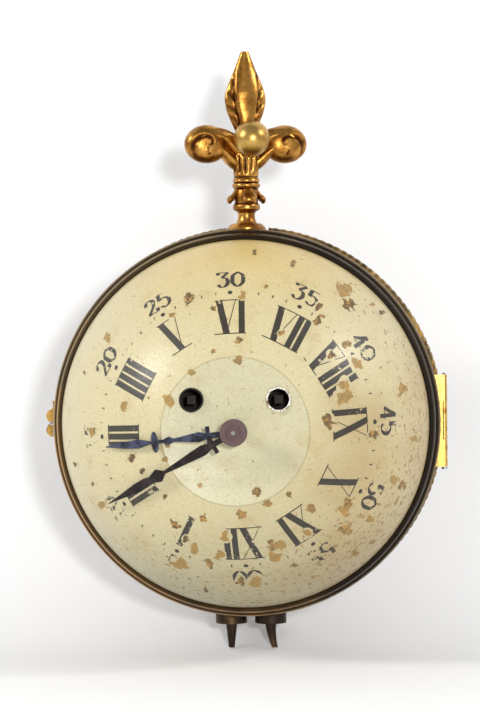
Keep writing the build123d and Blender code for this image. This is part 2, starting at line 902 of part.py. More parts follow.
def arbor(place):
    """A straight arbor between the plates, with a thinner pivot in each plate."""
    body = rod(arbor_radius, back_plate_front + end_shake, front_plate_low - end_shake, *place)
    pivots = rod(pivot_radius, back_plate_front - pivot_length, front_plate_low + pivot_length, *place)
    return joined(body, pivots)


# Movement on the door: two plates, four pillars with screws, and the dial's feet
barrel_places = {"going": (-winding_x, winding_y), "strike": (winding_x, winding_y)}
middle_place = (0.0, 0.0)
barrel_distance = (barrel_teeth + second_pinion_teeth) * barrel_module / 2
second_distance = (second_wheel_teeth + centre_pinion_teeth) * second_module / 2
along = (second_distance**2 - barrel_distance**2 + winding_radius**2) / (2 * winding_radius)
aside = sqrt(second_distance**2 - along**2)
second_x = (along * winding_x + aside * winding_y) / winding_radius
second_y = (along * winding_y - aside * winding_x) / winding_radius
second_places = {"going": (-second_x, second_y), "strike": (second_x, second_y)}
third_distance = (centre_wheel_teeth + third_pinion_teeth) * second_module / 2
third_place = (0.0, -third_distance)
minute_wheel_place = (0.0, motion_distance)
back_plate_low = back_plate_front - plate_thickness
front_plate_low = front_plate_front - plate_thickness


def around(circle, angles):
    """Places on a circle about the clock's axis."""
    return [(circle * cos(radians(a)), circle * sin(radians(a))) for a in angles]


pillar_places = around(pillar_circle, pillar_angles)
foot_places = around(dial_foot_circle, dial_foot_angles)
pivot_places = [*second_places.values(), third_place, hammer_place]
pivot_bore = pivot_radius + running_gap
barrel_bore = winding_collar_radius + running_gap


def make_plate(low, holes):
    """A round brass plate with round holes: (place, radius)."""
    tools = [rod(radius, low - 1, low + plate_thickness + 1, *place) for place, radius in holes]
    return cut(rod(plate_radius, low, low + plate_thickness), *tools)


screw_holes = [(place, pillar_screw_shank) for place in pillar_places]
back_holes = [(place, pivot_bore) for place in (*pivot_places, middle_place)]
back_holes += [(place, barrel_bore) for place in barrel_places.values()]
front_holes = [(place, pivot_bore) for place in pivot_places]
front_holes += [(place, barrel_bore) for place in barrel_places.values()]
front_holes += [(place, dial_foot_radius) for place in foot_places]
front_holes += [(middle_place, arbor_radius + running_gap)]
front_holes += [(minute_wheel_place, minute_post_radius)]
save(make_plate(back_plate_low, back_holes + screw_holes), "back_plate")
save(make_plate(front_plate_low, front_holes + screw_holes), "front_plate")

pillars = []
screws = []
for place in pillar_places:
    pillar = rod(pillar_radius, back_plate_front, front_plate_low, *place)
    waist = rod(pillar_radius + 1, back_plate_front + 6, front_plate_low - 6, *place)
    core = rod(pillar_radius - 0.8, back_plate_front + 6, front_plate_low - 6, *place)
    tapped = rod(pillar_screw_shank, back_plate_low, front_plate_front, *place)
    pillars.append(cut(pillar, cut(waist, core), tapped))
    for head_low, shank_low in (
        (front_plate_front, front_plate_low - pillar_screw_depth),
        (back_plate_low - pillar_screw_height, back_plate_low),
    ):
        head = rod(pillar_screw_radius, head_low, head_low + pillar_screw_height, *place)
        shank_high = shank_low + plate_thickness + pillar_screw_depth
        screws.append(joined(head, rod(pillar_screw_shank, shank_low, shank_high, *place)))
save(joined(*pillars), "plate_pillars")
save(joined(*screws), "pillar_screws")

foot_top = dish_front(dial_foot_circle) - 0.6
foot_low = front_plate_low - 3.0
feet = []
foot_pins = []
for place in foot_places:
    pin_place = face_plane.from_local_coords((*place, front_plate_low - dial_foot_pin_radius))
    with BuildPart() as foot_pin:
        with BuildSketch(Plane(origin=pin_place - Vector(4, 0, 0), z_dir=(1, 0, 0))):
            Circle(dial_foot_pin_radius)
        extrude(amount=8.0)
    shoulder = rod(dial_foot_radius + 1, front_plate_front, foot_top, *place)
    shank = rod(dial_foot_radius, foot_low, foot_top, *place)
    feet.append(cut(joined(shoulder, shank), dial, foot_pin.part))
    foot_pins.append(foot_pin.part)
save(joined(*feet), "dial_feet")
save(joined(*foot_pins), "dial_foot_pins")
minute_post = rod(minute_post_radius, front_plate_low, minute_post_front, *minute_wheel_place)
save(minute_post, "minute_wheel_post")

# Two barrels: winding arbor with a square and a ratchet, drum with its great wheel, and a click
square_front = eyelet_front - winding_square_recess
for side, name in winding_sides:
    place = barrel_places[name]
    great_wheel = gear(
        barrel_teeth,
        barrel_module,
        great_wheel_front,
        great_wheel_front + wheel_thickness,
        place,
        second_places[name],
    )
    drum_low = great_wheel_front + wheel_thickness
    drum_high = drum_low + barrel_drum_height
    drum = rod(barrel_drum_radius, drum_low, drum_high, *place)
    room = rod(barrel_drum_radius - drum_wall, drum_low + drum_wall, drum_high - drum_wall, *place)
    bore = rod(barrel_bore, great_wheel_front - 1, drum_high + 1, *place)
    save(cut(joined(great_wheel, drum), room, bore), f"{name}_barrel")

    spindle = rod(winding_collar_radius, back_plate_low, ratchet_front, *place)
    with BuildPart() as square:
        with BuildSketch(face_plane.offset(ratchet_front)):
            with Locations(place):
                Rectangle(winding_square, winding_square)
        extrude(amount=square_front - ratchet_front)
    save(joined(spindle, square.part), f"{name}_winding_arbor")

    with BuildPart() as ratchet:
        with BuildSketch(face_plane.offset(ratchet_front)):
            with BuildLine():
                corners = []
                for tooth in range(ratchet_teeth):
                    turn = 2 * pi * tooth / ratchet_teeth
                    for radius in (ratchet_radius - ratchet_depth, ratchet_radius):
                        corners.append(
                            (place[0] + radius * cos(turn), place[1] + radius * sin(turn))
                        )
                Polyline(*corners, close=True)
            make_face()
            with Locations(place):
                Rectangle(winding_square, winding_square, mode=Mode.SUBTRACT)
        extrude(amount=wheel_thickness)
    save(ratchet.part, f"{name}_ratchet")

    click_x = place[0] + side * (ratchet_radius + click_gap)
    with BuildPart() as click:
        with BuildSketch(face_plane.offset(front_plate_front)):
            with Locations((click_x, place[1] - click_length)):
                Circle(click_hub_radius)
            with Locations((click_x, place[1] - click_length / 2)):
                Rectangle(click_width, click_length)
        extrude(amount=ratchet_front + wheel_thickness - front_plate_front)
    save(click.part, f"{name}_click")

# Second wheels: the going one drives the centre pinion
pinion_front = great_wheel_front - (pinion_length - wheel_thickness) / 2
for name, place in second_places.items():
    wheel_low = second_wheel_front[name]
    second_wheel = crossed_wheel(
        second_wheel_teeth, second_module, wheel_low, place, middle_place, arbor_radius
    )
    second_pinion = gear(
        second_pinion_teeth,
        barrel_module,
        pinion_front,
        pinion_front + pinion_length,
        place,
        barrel_places[name],
        is_pinion=True,
    )
    save(second_wheel, f"{name}_second_wheel")
    save(joined(arbor(place), second_pinion), f"{name}_second_arbor")

# Third wheel, driven by the centre wheel
third_pinion_front = centre_wheel_front - (pinion_length - wheel_thickness) / 2
third_pinion = gear(
    third_pinion_teeth,
    second_module,
    third_pinion_front,
    third_pinion_front + pinion_length,
    third_place,
    middle_place,
    is_pinion=True,
)
third_wheel = crossed_wheel(
    third_wheel_teeth, third_module, third_wheel_front, third_place, middle_place, arbor_radius
)
save(joined(arbor(third_place), third_pinion), "third_arbor")
save(third_wheel, "third_wheel")

# Centre arbor with its pinion and wheel, then the motion work in front of the plates
centre_pivot = rod(pivot_radius, back_plate_front - pivot_length, back_plate_front + 1)
centre_bar = rod(arbor_radius, back_plate_front + end_shake, arbor_tip_front)
centre_pinion = gear(
    centre_pinion_teeth,
    second_module,
    centre_pinion_front,
    centre_pinion_front + pinion_length,
    middle_place,
    second_places["going"],
    is_pinion=True,
)
centre_wheel = crossed_wheel(
    centre_wheel_teeth, second_module, centre_wheel_front, middle_place, third_place, arbor_radius
)
save(joined(centre_pivot, centre_bar, centre_pinion), "centre_arbor")
save(centre_wheel, "centre_wheel")

cannon_module = 2 * motion_distance / (cannon_teeth + minute_wheel_teeth)
hour_module = 2 * motion_distance / (minute_pinion_teeth + hour_wheel_teeth)
cannon = gear(
    cannon_teeth,
    cannon_module,
    cannon_front,
    cannon_front + 3.0,
    middle_place,
    minute_wheel_place,
    is_pinion=True,
)
cannon_pipe = rod(cannon_pipe_radius, cannon_front, cannon_pipe_front)
save(cut(joined(cannon, cannon_pipe), centre_bar), "cannon_pinion")

minute_wheel = gear(
    minute_wheel_teeth,
    cannon_module,
    cannon_front + 0.5,
    cannon_front + 2.0,
    minute_wheel_place,
    middle_place,
)
minute_pinion = gear(
    minute_pinion_teeth,
    hour_module,
    cannon_front + 2.0,
    cannon_front + 7.0,
    minute_wheel_place,
    middle_place,
    is_pinion=True,
)
post_bore = rod(minute_post_radius + running_gap, cannon_front, 2 * cannon_front, *minute_wheel_place)
save(cut(joined(minute_wheel, minute_pinion), post_bore), "minute_wheel")

hour_wheel = gear(
    hour_wheel_teeth,
    hour_module,
    hour_wheel_front,
    hour_wheel_front + wheel_thickness,
    middle_place,
    minute_wheel_place,
)
hour_pipe = rod(hour_pipe_radius, hour_wheel_front, hour_pipe_front)
hour_bore = rod(cannon_pipe_radius + running_gap, hour_wheel_front - 1, hour_pipe_front + 1)
save(cut(joined(hour_wheel, hour_pipe), hour_bore), "hour_wheel")


# Hands: flat outlines wrapped onto balls a little larger than the dial
def shaped_hand(outline, clearance, angle, boss_low, bore):
    """The outline, seen from the front and pointing up, bent over the dome and set to an angle."""
    inner = globe_radius + clearance
    with BuildPart() as hand:
        with BuildSketch(face_plane.offset(bezel_lip_front)):
            add(outline)
        extrude(amount=globe_radius)
        with Locations(centre):
            Sphere(inner + hand_thickness, mode=Mode.INTERSECT)
            Sphere(inner, mode=Mode.SUBTRACT)
    boss = rod(hand_boss_radius, boss_low, inner + hand_thickness)
    shaft = rod(bore, boss_low - 1, inner + 2 * hand_thickness)
    return cut(joined(hand.part, boss), shaft).rotate(axis_out, -angle)


def hand_profile(reach, profile):
    """A closed outline that is the same on both sides: (share of the reach, half width)."""
    side = [(half_width, share * reach) for share, half_width in profile]
    other = [(-x, y) for x, y in reversed(side)]
    Polyline(*side, *other, close=True)


def hour_outline():
    """Boss, crossbar, turned baluster, oval crossing and a spade blade."""
    reach = hour_hand_reach
    with BuildSketch() as outline:
        Circle(hand_boss_radius)
        with Locations((0, reach * hour_crossbar_share)):
            Rectangle(hand_crossbar_length, hand_crossbar_width)
        with Locations((0, reach * hour_oval_share)):
            Ellipse(hour_oval_half_length, hour_oval_half_width)
        with BuildLine():
            hand_profile(reach, hour_profile)
        make_face()
    return outline.sketch


def minute_outline():
    """Boss, crossbar, leaf swelling, flared cup and a long pointed blade."""
    reach = minute_hand_reach
    with BuildSketch() as outline:
        Circle(hand_boss_radius)
        with Locations((0, reach * minute_crossbar_share)):
            Rectangle(hand_crossbar_length, hand_crossbar_width)
        with BuildLine():
            hand_profile(reach, minute_profile)
        make_face()
    return outline.sketch


hour_hand = shaped_hand(
    hour_outline(), hour_hand_clearance, hour_angle, hour_boss_front, hour_pipe_radius
)
minute_hand = shaped_hand(
    minute_outline(), minute_hand_clearance, minute_angle, minute_boss_front, cannon_pipe_radius
)
save(hour_hand, "hour_hand")
save(minute_hand, "minute_hand")
nut_low = globe_radius + minute_hand_clearance + hand_thickness
hand_nut = rod(hand_nut_radius, nut_low, nut_low + hand_nut_height)
save(cut(hand_nut, centre_bar, cannon_pipe), "hand_nut")

# Bell behind the back plate, on a stud, and the hammer that strikes its rim
bell_crown_front = bell_mouth_front - bell_height
with BuildPart() as bell:
    with BuildSketch(section_plane):
        with BuildLine():
            out = ThreePointArc(
                (bell_stud_radius, bell_crown_front),
                (bell_radius * 0.78, bell_crown_front + bell_height * 0.3),
                (bell_radius, bell_mouth_front),
            )
            rim = Line(out @ 1, (bell_radius - bell_wall, bell_mouth_front))
            inside = ThreePointArc(
                rim @ 1,
                (bell_radius * 0.74, bell_crown_front + bell_height * 0.3 + bell_wall * 0.8),
                (bell_stud_radius, bell_crown_front + bell_wall),
            )
            Line(inside @ 1, out @ 0)
        make_face()
    revolve(axis=axis_out)
save(bell.part, "bell")
bell_nut_low = bell_crown_front - bell_nut_height
stud_shoulder = rod(bell_stud_radius + 2.0, bell_crown_front + bell_wall, back_plate_low)
stud_thread = rod(bell_stud_radius, bell_nut_low, back_plate_low)
save(cut(joined(stud_shoulder, stud_thread), bell.part), "bell_stud")
bell_nut = rod(bell_stud_radius + 3.0, bell_nut_low, bell_crown_front)
save(cut(bell_nut, stud_thread, bell.part), "bell_nut")

hammer_tail = rod(pivot_radius, hammer_front, back_plate_front, *hammer_place)
hammer_root = face_plane.from_local_coords((*hammer_place, hammer_front))
head_start = face_plane.from_local_coords((bell_radius + hammer_gap, 0, hammer_front))
head_middle = head_start + Vector(hammer_head_length * 0.6, 0, 0)
with BuildPart() as hammer_arm:
    with BuildSketch(Plane(origin=hammer_root, z_dir=head_middle - hammer_root)):
        Circle(hammer_arm_radius)
    extrude(amount=(head_middle - hammer_root).length)
    with Locations(hammer_root):
        Sphere(hammer_arm_radius + 0.8)
with BuildPart() as hammer_head:
    with BuildSketch(Plane(origin=head_start, z_dir=(1, 0, 0))):
        Circle(hammer_head_radius)
    extrude(amount=hammer_head_length)
hammer = joined(arbor(hammer_place), hammer_tail, hammer_arm.part, hammer_head.part)
save(hammer, "hammer")
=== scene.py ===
"""Looks of a globe clock: a ball-shaped case with a domed painted dial, a gilded lily finial on
top and two prongs below. Metres, +Z up, the dial faces -Y. Heights along the clock's own axis are
called front and are counted from the joint between door and case, positive towards the viewer."""

import math

import bmesh
import bpy
import numpy as np
from mathutils import Matrix


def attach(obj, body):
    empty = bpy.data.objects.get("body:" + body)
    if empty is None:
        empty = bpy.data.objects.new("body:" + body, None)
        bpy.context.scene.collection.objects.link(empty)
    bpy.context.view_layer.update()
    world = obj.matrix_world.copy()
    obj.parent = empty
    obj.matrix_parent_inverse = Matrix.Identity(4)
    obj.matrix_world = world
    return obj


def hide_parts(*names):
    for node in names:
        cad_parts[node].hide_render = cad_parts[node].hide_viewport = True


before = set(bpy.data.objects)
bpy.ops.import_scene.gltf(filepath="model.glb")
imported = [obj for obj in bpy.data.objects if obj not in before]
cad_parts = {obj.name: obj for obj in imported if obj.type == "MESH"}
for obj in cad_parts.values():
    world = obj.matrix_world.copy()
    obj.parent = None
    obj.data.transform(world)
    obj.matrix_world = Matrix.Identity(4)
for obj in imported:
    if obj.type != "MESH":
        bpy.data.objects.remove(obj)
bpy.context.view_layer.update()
scene = bpy.context.scene
scene.view_settings.view_transform = "Standard"

# Camera: 1.3 m in front of the bezel, a little to the right and above. Its aim and roll put the
# middle of the bezel and the finial where the photograph has them.
MM = 0.001
centre_height = 95.98 * MM
bezel_middle = np.array([0.0, -10 * MM, centre_height])
camera_distance = 1.3
camera_azimuth, camera_elevation, camera_roll = np.radians([3.9, 3.0, 0.64])
camera_aim = np.array([-2.67, -10.0, 126.26]) * MM
photo_height = 725
focal_pixels = 2600

camera_data = bpy.data.cameras.new("camera")
camera_data.lens = focal_pixels / photo_height * camera_data.sensor_width
camera_data.clip_end = 20
camera = bpy.data.objects.new("camera", camera_data)
scene.collection.objects.link(camera)
scene.camera = camera
camera_out = np.array(
    [
        np.sin(camera_azimuth) * np.cos(camera_elevation),
        -np.cos(camera_azimuth) * np.cos(camera_elevation),
        np.sin(camera_elevation),
    ]
)
camera_place = bezel_middle + camera_distance * camera_out
view_line = camera_aim - camera_place
view_line /= np.linalg.norm(view_line)
level = np.cross(view_line, [0, 0, 1])
level /= np.linalg.norm(level)
rightward = np.cos(camera_roll) * level - np.sin(camera_roll) * np.cross(level, view_line)
camera_pose = np.eye(4)
camera_pose[:3, 0] = rightward
camera_pose[:3, 1] = np.cross(rightward, view_line)
camera_pose[:3, 2] = -view_line
camera_pose[:3, 3] = camera_place
camera.matrix_world = Matrix(camera_pose.tolist())


# Studio: a white wall close behind the clock that curves into a pale floor, both matt paper.
# Camera and mirror rays see it a little brighter, so it comes out white and keeps its soft
# shadows. From its back it is clear to every ray, so that the rear of the clock shows. The air
# round it is white to the camera and dimmer as a light on the clock.
class Wire:
    """A number that leaves a node, so that it can be added, multiplied and compared."""

    def __init__(self, finish, socket):
        self.finish = finish
        self.socket = socket

    def sum(self, operation, *others):
        """A Math node with this number first."""
        return self.finish.node("ShaderNodeMath", {"operation": operation}, [self, *others])

    def __add__(self, other):
        return self.sum("ADD", other)

    __radd__ = __add__

    def __sub__(self, other):
        return self.sum("SUBTRACT", other)

    def __rsub__(self, other):
        return (self * -1) + other

    def __mul__(self, other):
        return self.sum("MULTIPLY", other)

    __rmul__ = __mul__

    def __pow__(self, other):
        return self.sum("POWER", other)

    def step(self, low, high):
        """0 below low, 1 above high, smooth between."""
        settings = {"interpolation_type": "SMOOTHSTEP"}
        return self.finish.node("ShaderNodeMapRange", settings, {"Value": self, 1: low, 2: high})


class Finish:
    """A material with one Principled shader, whose textures are written as expressions."""

    def __init__(self, name, **constants):
        self.material = bpy.data.materials.new(name)
        self.material.use_nodes = True
        self.tree = self.material.node_tree
        self.shader = self.tree.nodes["Principled BSDF"]
        for socket, value in constants.items():
            self.set(socket.replace("_", " "), value)

    def set(self, socket, value):
        """Gives the Principled shader's socket a number, a colour or a link."""
        target = self.shader.inputs[socket]
        if isinstance(value, Wire):
            self.tree.links.new(value.socket, target)
        else:
            target.default_value = value

    def node(self, kind, settings=None, inputs=(), output=0):
        """Adds a node: its settings first, then its sockets by number or name."""
        made = self.tree.nodes.new(kind)
        for key, value in (settings or {}).items():
            setattr(made, key, value)
        pairs = inputs.items() if isinstance(inputs, dict) else enumerate(inputs)
        for key, value in pairs:
            if isinstance(value, Wire):
                self.tree.links.new(value.socket, made.inputs[key])
            else:
                made.inputs[key].default_value = value
        return Wire(self, made.outputs[output])

    def mix(self, share, first, second):
        """The first colour where share is 0, the second where it is 1."""
        return self.node("ShaderNodeMix", {"data_type": "RGBA"}, {0: share, 6: first, 7: second}, 2)

    def about_axis(self):
        """Object coordinates as numbers: right, back, and up from the middle of the globe, and then
        the distance from the clock's axis."""
        where = self.node("ShaderNodeTexCoord", output=3)
        outputs = self.node("ShaderNodeSeparateXYZ", None, [where]).socket.node.outputs
        x, y, z = (Wire(self, outputs[axis]) for axis in range(3))
        up = z - centre_height
        return x, y, up, (x * x + up * up) ** 0.5

    def mark(self, name):
        """A point attribute of the piece's own mesh, by its name."""
        return self.node("ShaderNodeAttribute", {"attribute_name": name}, output=2)

    def noise(self, scale, detail=3.0, roughness=0.5, seed=0.0):
        """Cloudy noise on object coordinates, about 0.5, scale in features per metre."""
        where = self.node("ShaderNodeTexCoord", output=3)
        moved = self.node("ShaderNodeVectorMath", {"operation": "ADD"}, [where, (seed, seed, seed)])
        inputs = {"Vector": moved, "Scale": scale, "Detail": detail, "Roughness": roughness}
        return self.node("ShaderNodeTexNoise", None, inputs)

    def bump(self, height, depth):
        """Raises the surface by height (0 to 1) times depth in metres."""
        inputs = {"Height": height, "Distance": depth, "Strength": 1.0}
        self.set("Normal", self.node("ShaderNodeBump", None, inputs))


def tint(red, green, blue):
    """A colour given as it looks on screen, 0 to 255, turned into linear light."""
    share = np.array([red, green, blue]) / 255
    linear = np.where(share <= 0.04045, share / 12.92, ((share + 0.055) / 1.055) ** 2.4)
    return (*linear.tolist(), 1.0)


def mottled(name, metallic, scale, detail, edges, first, second, smoothest, gain):
    """A metal of two colours: noise of that scale and detail goes over from the first colour to the
    second between the two edges. Roughness is smoothest plus gain times the noise."""
    metal = Finish(name, Metallic=metallic)
    cloud = metal.noise(scale, detail, 0.6)
    metal.colour = metal.mix(cloud.step(*edges), first, second)
    metal.set("Base Color", metal.colour)
    metal.set("Roughness", cloud * gain + smoothest)
    return metal


def skin(name, grids, closed_u=False, closed_v=False, crease=35, values=None):
    """A mesh over grids of points [u, v, xyz]. A closed direction joins its last row to its first.
    Doubled points are merged and faces turned outwards; edges sharper than crease stay crisp.
    values holds named point attributes, each a list of arrays that match the grids."""
    corners, faces, used = [], [], 0
    for points in grids:
        rows, columns = points.shape[:2]
        u = np.arange(rows if closed_u else rows - 1)
        v = np.arange(columns if closed_v else columns - 1)
        a, b = np.meshgrid(u, v, indexing="ij")
        c, d = (a + 1) % rows, (b + 1) % columns
        quads = np.stack([a * columns + b, c * columns + b, c * columns + d, a * columns + d], -1)
        faces.append(quads.reshape(-1, 4) + used)
        corners.append(points.reshape(-1, 3))
        used += rows * columns
    mesh = bpy.data.meshes.new(name)
    mesh.from_pydata(np.concatenate(corners).tolist(), [], np.concatenate(faces).tolist())
    for label, arrays in (values or {}).items():
        layer = mesh.attributes.new(label, "FLOAT", "POINT")
        layer.data.foreach_set("value", np.concatenate([np.ravel(array) for array in arrays]))
    work = bmesh.new()
    work.from_mesh(mesh)
    bmesh.ops.remove_doubles(work, verts=work.verts, dist=1e-6)
    bmesh.ops.dissolve_degenerate(work, edges=work.edges, dist=1e-7)
    bmesh.ops.recalc_face_normals(work, faces=work.faces)
    work.to_mesh(mesh)
    work.free()
    mesh.shade_smooth()
    mesh.set_sharp_from_angle(angle=math.radians(crease))
    piece = bpy.data.objects.new(name, mesh)
    scene.collection.objects.link(piece)
    return piece


def dress(piece, finish):
    """Gives a piece, or a CAD node by name, one finish all over."""
    if isinstance(piece, str):
        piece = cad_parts[piece]
    piece.data.materials.clear()
    piece.data.materials.append(finish.material)
    return piece


wall_front = -112 * MM
floor_height = -22 * MM
cove_radius = 0.12
stage_half_width = 1.6
stage_reach = 1.6
wall_top = 1.6
paper_glow = 0.15
turn = np.linspace(0, np.pi / 2, 12)
stage_back = np.concatenate(
    [[-stage_reach], -wall_front - cove_radius + cove_radius * np.sin(turn), [-wall_front]]
)
stage_up = np.concatenate(
    [[floor_height], floor_height + cove_radius * (1 - np.cos(turn)), [wall_top]]
)
stage_x = np.array([-stage_half_width, stage_half_width])
stage_grid = np.stack(
    np.broadcast_arrays(stage_x[None, :], stage_back[:, None], stage_up[:, None]), -1
)
backdrop = skin("backdrop", [stage_grid])
paper = Finish("backdrop paper", Roughness=0.9)
paper.set("Base Color", tint(226, 226, 226))
rays = paper.node("ShaderNodeLightPath").socket.node.outputs
seen = Wire(paper, rays["Is Camera Ray"]).sum("MAXIMUM", Wire(paper, rays["Is Glossy Ray"]))
glow = (paper_glow, paper_glow, paper_glow, 1.0)
paper.set("Emission Color", paper.mix(seen, (0.0, 0.0, 0.0, 1.0), glow))
paper.set("Emission Strength", 1.0)
from_behind = paper.node("ShaderNodeNewGeometry", output=6)
clear = paper.node("ShaderNodeBsdfTransparent")
one_sided = paper.node("ShaderNodeMixShader", None, [from_behind])
paper.tree.links.new(paper.shader.outputs[0], one_sided.socket.node.inputs[1])
paper.tree.links.new(clear.socket, one_sided.socket.node.inputs[2])
paper.tree.links.new(one_sided.socket, paper.tree.nodes["Material Output"].inputs[0])
dress(backdrop, paper)
if backdrop.data.polygons[-1].normal.y > 0:
    backdrop.data.flip_normals()


def softbox(name, place, size, power):
    """A square white area lamp that faces the middle of the globe, size in metres, power in watts."""
    data = bpy.data.lights.new(name, "AREA")
    data.shape = "SQUARE"
    data.size = size
    data.energy = power
    lamp = bpy.data.objects.new(name, data)
    scene.collection.objects.link(lamp)
    out = np.array(place) / np.linalg.norm(place)
    side = np.cross([0, 0, 1], out)
    side /= np.linalg.norm(side)
    pose = np.eye(4)
    pose[:3, 0], pose[:3, 1], pose[:3, 2] = side, np.cross(out, side), out
    pose[:3, 3] = np.array(place) + [0, 0, centre_height]
    lamp.matrix_world = Matrix(pose.tolist())


air_level = 0.38
softbox("left window", (-1.20, -0.66, 0.74), 0.34, 11)
softbox("right window", (1.25, -0.28, 0.85), 0.25, 7)
softbox("camera light", (0.33, -1.6, 0.22), 0.13, 12)
world = bpy.data.worlds.new("studio air")
scene.world = world
world.use_nodes = True
air = world.node_tree.nodes["Background"]
air.inputs["Color"].default_value = (1.0, 1.0, 1.0, 1.0)
air_rays = world.node_tree.nodes.new("ShaderNodeLightPath")
air_strength = world.node_tree.nodes.new("ShaderNodeMapRange")
air_strength.inputs["To Min"].default_value = air_level
world.node_tree.links.new(air_rays.outputs["Is Camera Ray"], air_strength.inputs["Value"])
world.node_tree.links.new(air_strength.outputs["Result"], air.inputs["Strength"])

# Case band: a cast bronze ring with a brown-black patina, a dark ground with rubbed warm patches.
# The back boss and the prongs share its finish.
bronze = mottled(
    "dark bronze", 0.85, 60, 5.0, (0.52, 0.72), tint(50, 40, 32), tint(104, 80, 50), 0.28, 0.35
)
bronze.bump(bronze.noise(400, 4.0), 0.12 * MM)
for node in ("case_band", "back_boss", "prong_left", "prong_right"):
    dress(node, bronze)

# Rear shell: the back half of the globe, spun from sheet brass and left to go brown, with twelve
# sound slots. Fine rings run round it from spinning.
ring_wave, ring_depth = 9000, 0.01 * MM
shell_metal = mottled(
    "spun brass, browned", 0.8, 35, 4.0, (0.35, 0.7), tint(96, 76, 48), tint(146, 116, 68), 0.3, 0.3
)
*_, out = shell_metal.about_axis()
shell_metal.bump((out * ring_wave).sum("SINE") * 0.5 + 0.5, ring_depth)
dress("rear_shell", shell_metal)


# Rope moulding: a cast rim of small slanting lobes round the back edge of the band. It shrinks to a
# thread sunk in the band where the finial's and the prongs' flanges sit.
def in_row(x, y, front):
    """Row-frame points from face coordinates: right, up from the globe's middle, and front."""
    return np.stack(np.broadcast_arrays(x, -np.asarray(front), centre_height + np.asarray(y)), -1)


def adorn(piece, finish, body, slot, *nodes):
    """Finish, body, slot (not used) and the CAD nodes it stands for, for one finished piece."""
    dress(piece, finish)
    if nodes:
        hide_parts(*nodes)
    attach(piece, body)


band_radius = 96.5 * MM
rope_front = -19 * MM
rope_radius = 2.35 * MM
rope_lobe_count = 150
rope_slant = 0.9
groove_share = 0.20
rope_sunk, rope_shrink = 2.5 * MM, 0.98
flange_angles = np.radians([90, 264, 276])
flange_half_angle = np.radians([6.2, 5.1, 5.1])
around = np.linspace(0, 2 * np.pi, rope_lobe_count * 8, endpoint=False)[:, None]
section = np.linspace(0, 2 * np.pi, 14, endpoint=False)[None, :]
lobe = np.abs(np.cos(around * rope_lobe_count / 2 + rope_slant * np.sin(section)))
swell = rope_radius * (1 - groove_share + groove_share * lobe**0.6)
open_here = np.zeros_like(around)
for angle, half in zip(flange_angles, flange_half_angle):
    open_here = np.maximum(open_here, np.abs((around - angle + np.pi) % (2 * np.pi) - np.pi) < half)
swell = swell * (1 - rope_shrink * open_here)
rope_middle = band_radius - rope_sunk * open_here
rope_distance = rope_middle + swell * np.cos(section)
rope_grid = in_row(
    rope_distance * np.cos(around), rope_distance * np.sin(around), rope_front + swell * np.sin(section)
)
rope = skin("rope_moulding", [rope_grid], closed_u=True, closed_v=True, crease=60)
dull_brass = mottled(
    "dull brass", 0.9, 90, 5.0, (0.35, 0.7), tint(84, 66, 40), tint(166, 132, 76), 0.22, 0.35
)
adorn(rope, dull_brass, "case", "aged_brass", "edge_bead")


# Finial stem: a waisted neck, a ring, a collar of four drooping leaf tips, two beads and a fluted
# cup, turned in one piece. The flutes are cut into the lathe profile as it goes round.
finial_front = -10.5 * MM
finial_base = centre_height + 96.0 * MM
finial_twist = math.radians(17)


def on_finial(x, front, height):
    """Row-frame points from millimetres about the finial's axis: right, front and height over its
    base, with the finial's own turn about its axis put in."""
    x, front, height = np.broadcast_arrays(x, front, height)
    right = x * math.cos(finial_twist) + front * math.sin(finial_twist)
    ahead = front * math.cos(finial_twist) - x * math.sin(finial_twist)
    return np.stack([right * MM, -finial_front - ahead * MM, finial_base + height * MM], -1)


def smooth(points, count):
    """A Catmull-Rom curve through the points, sampled count times from first to last."""
    points = np.asarray(points, float)
    ends = np.vstack([2 * points[0] - points[1], points, 2 * points[-1] - points[-2]])
    t = np.linspace(0, len(points) - 1, count)
    k = np.minimum(t.astype(int), len(points) - 2)
    t = (t - k)[:, None]
    a, b, c, d = ends[k], ends[k + 1], ends[k + 2], ends[k + 3]
    return b + 0.5 * t * (c - a + t * (2 * a - 5 * b + 4 * c - d + t * (3 * (b - c) + d - a)))


def swept(path, half_thick, half_wide, sides, ridges=0, ridge_depth=0.0):
    """A closed bar along a flat path: two plane coordinates and a sideways one. Its section is an
    ellipse, half_thick in the plane and half_wide across it, and lengthwise ridges may be cut."""
    ahead = np.gradient(path, axis=0)
    ahead /= np.linalg.norm(ahead, axis=1)[:, None]
    phi = np.linspace(0, 2 * np.pi, sides, endpoint=False)[None, :]
    swell = 1 - ridge_depth * (0.5 + 0.5 * np.cos(ridges * phi))
    round_end = np.sqrt(np.clip(1 - np.linspace(-1, 1, len(path)) ** 16, 0, 1))[:, None]
    across = half_thick[:, None] * round_end * swell * np.cos(phi)
    sideways = half_wide[:, None] * round_end * swell * np.sin(phi)
    first = path[:, :1] - ahead[:, 1:] * across
    second = path[:, 1:] + ahead[:, :1] * across
    recess = np.broadcast_to(ridge_depth * (0.5 + 0.5 * np.cos(ridges * phi)) / 0.3, first.shape)
    return first, second, sideways, recess


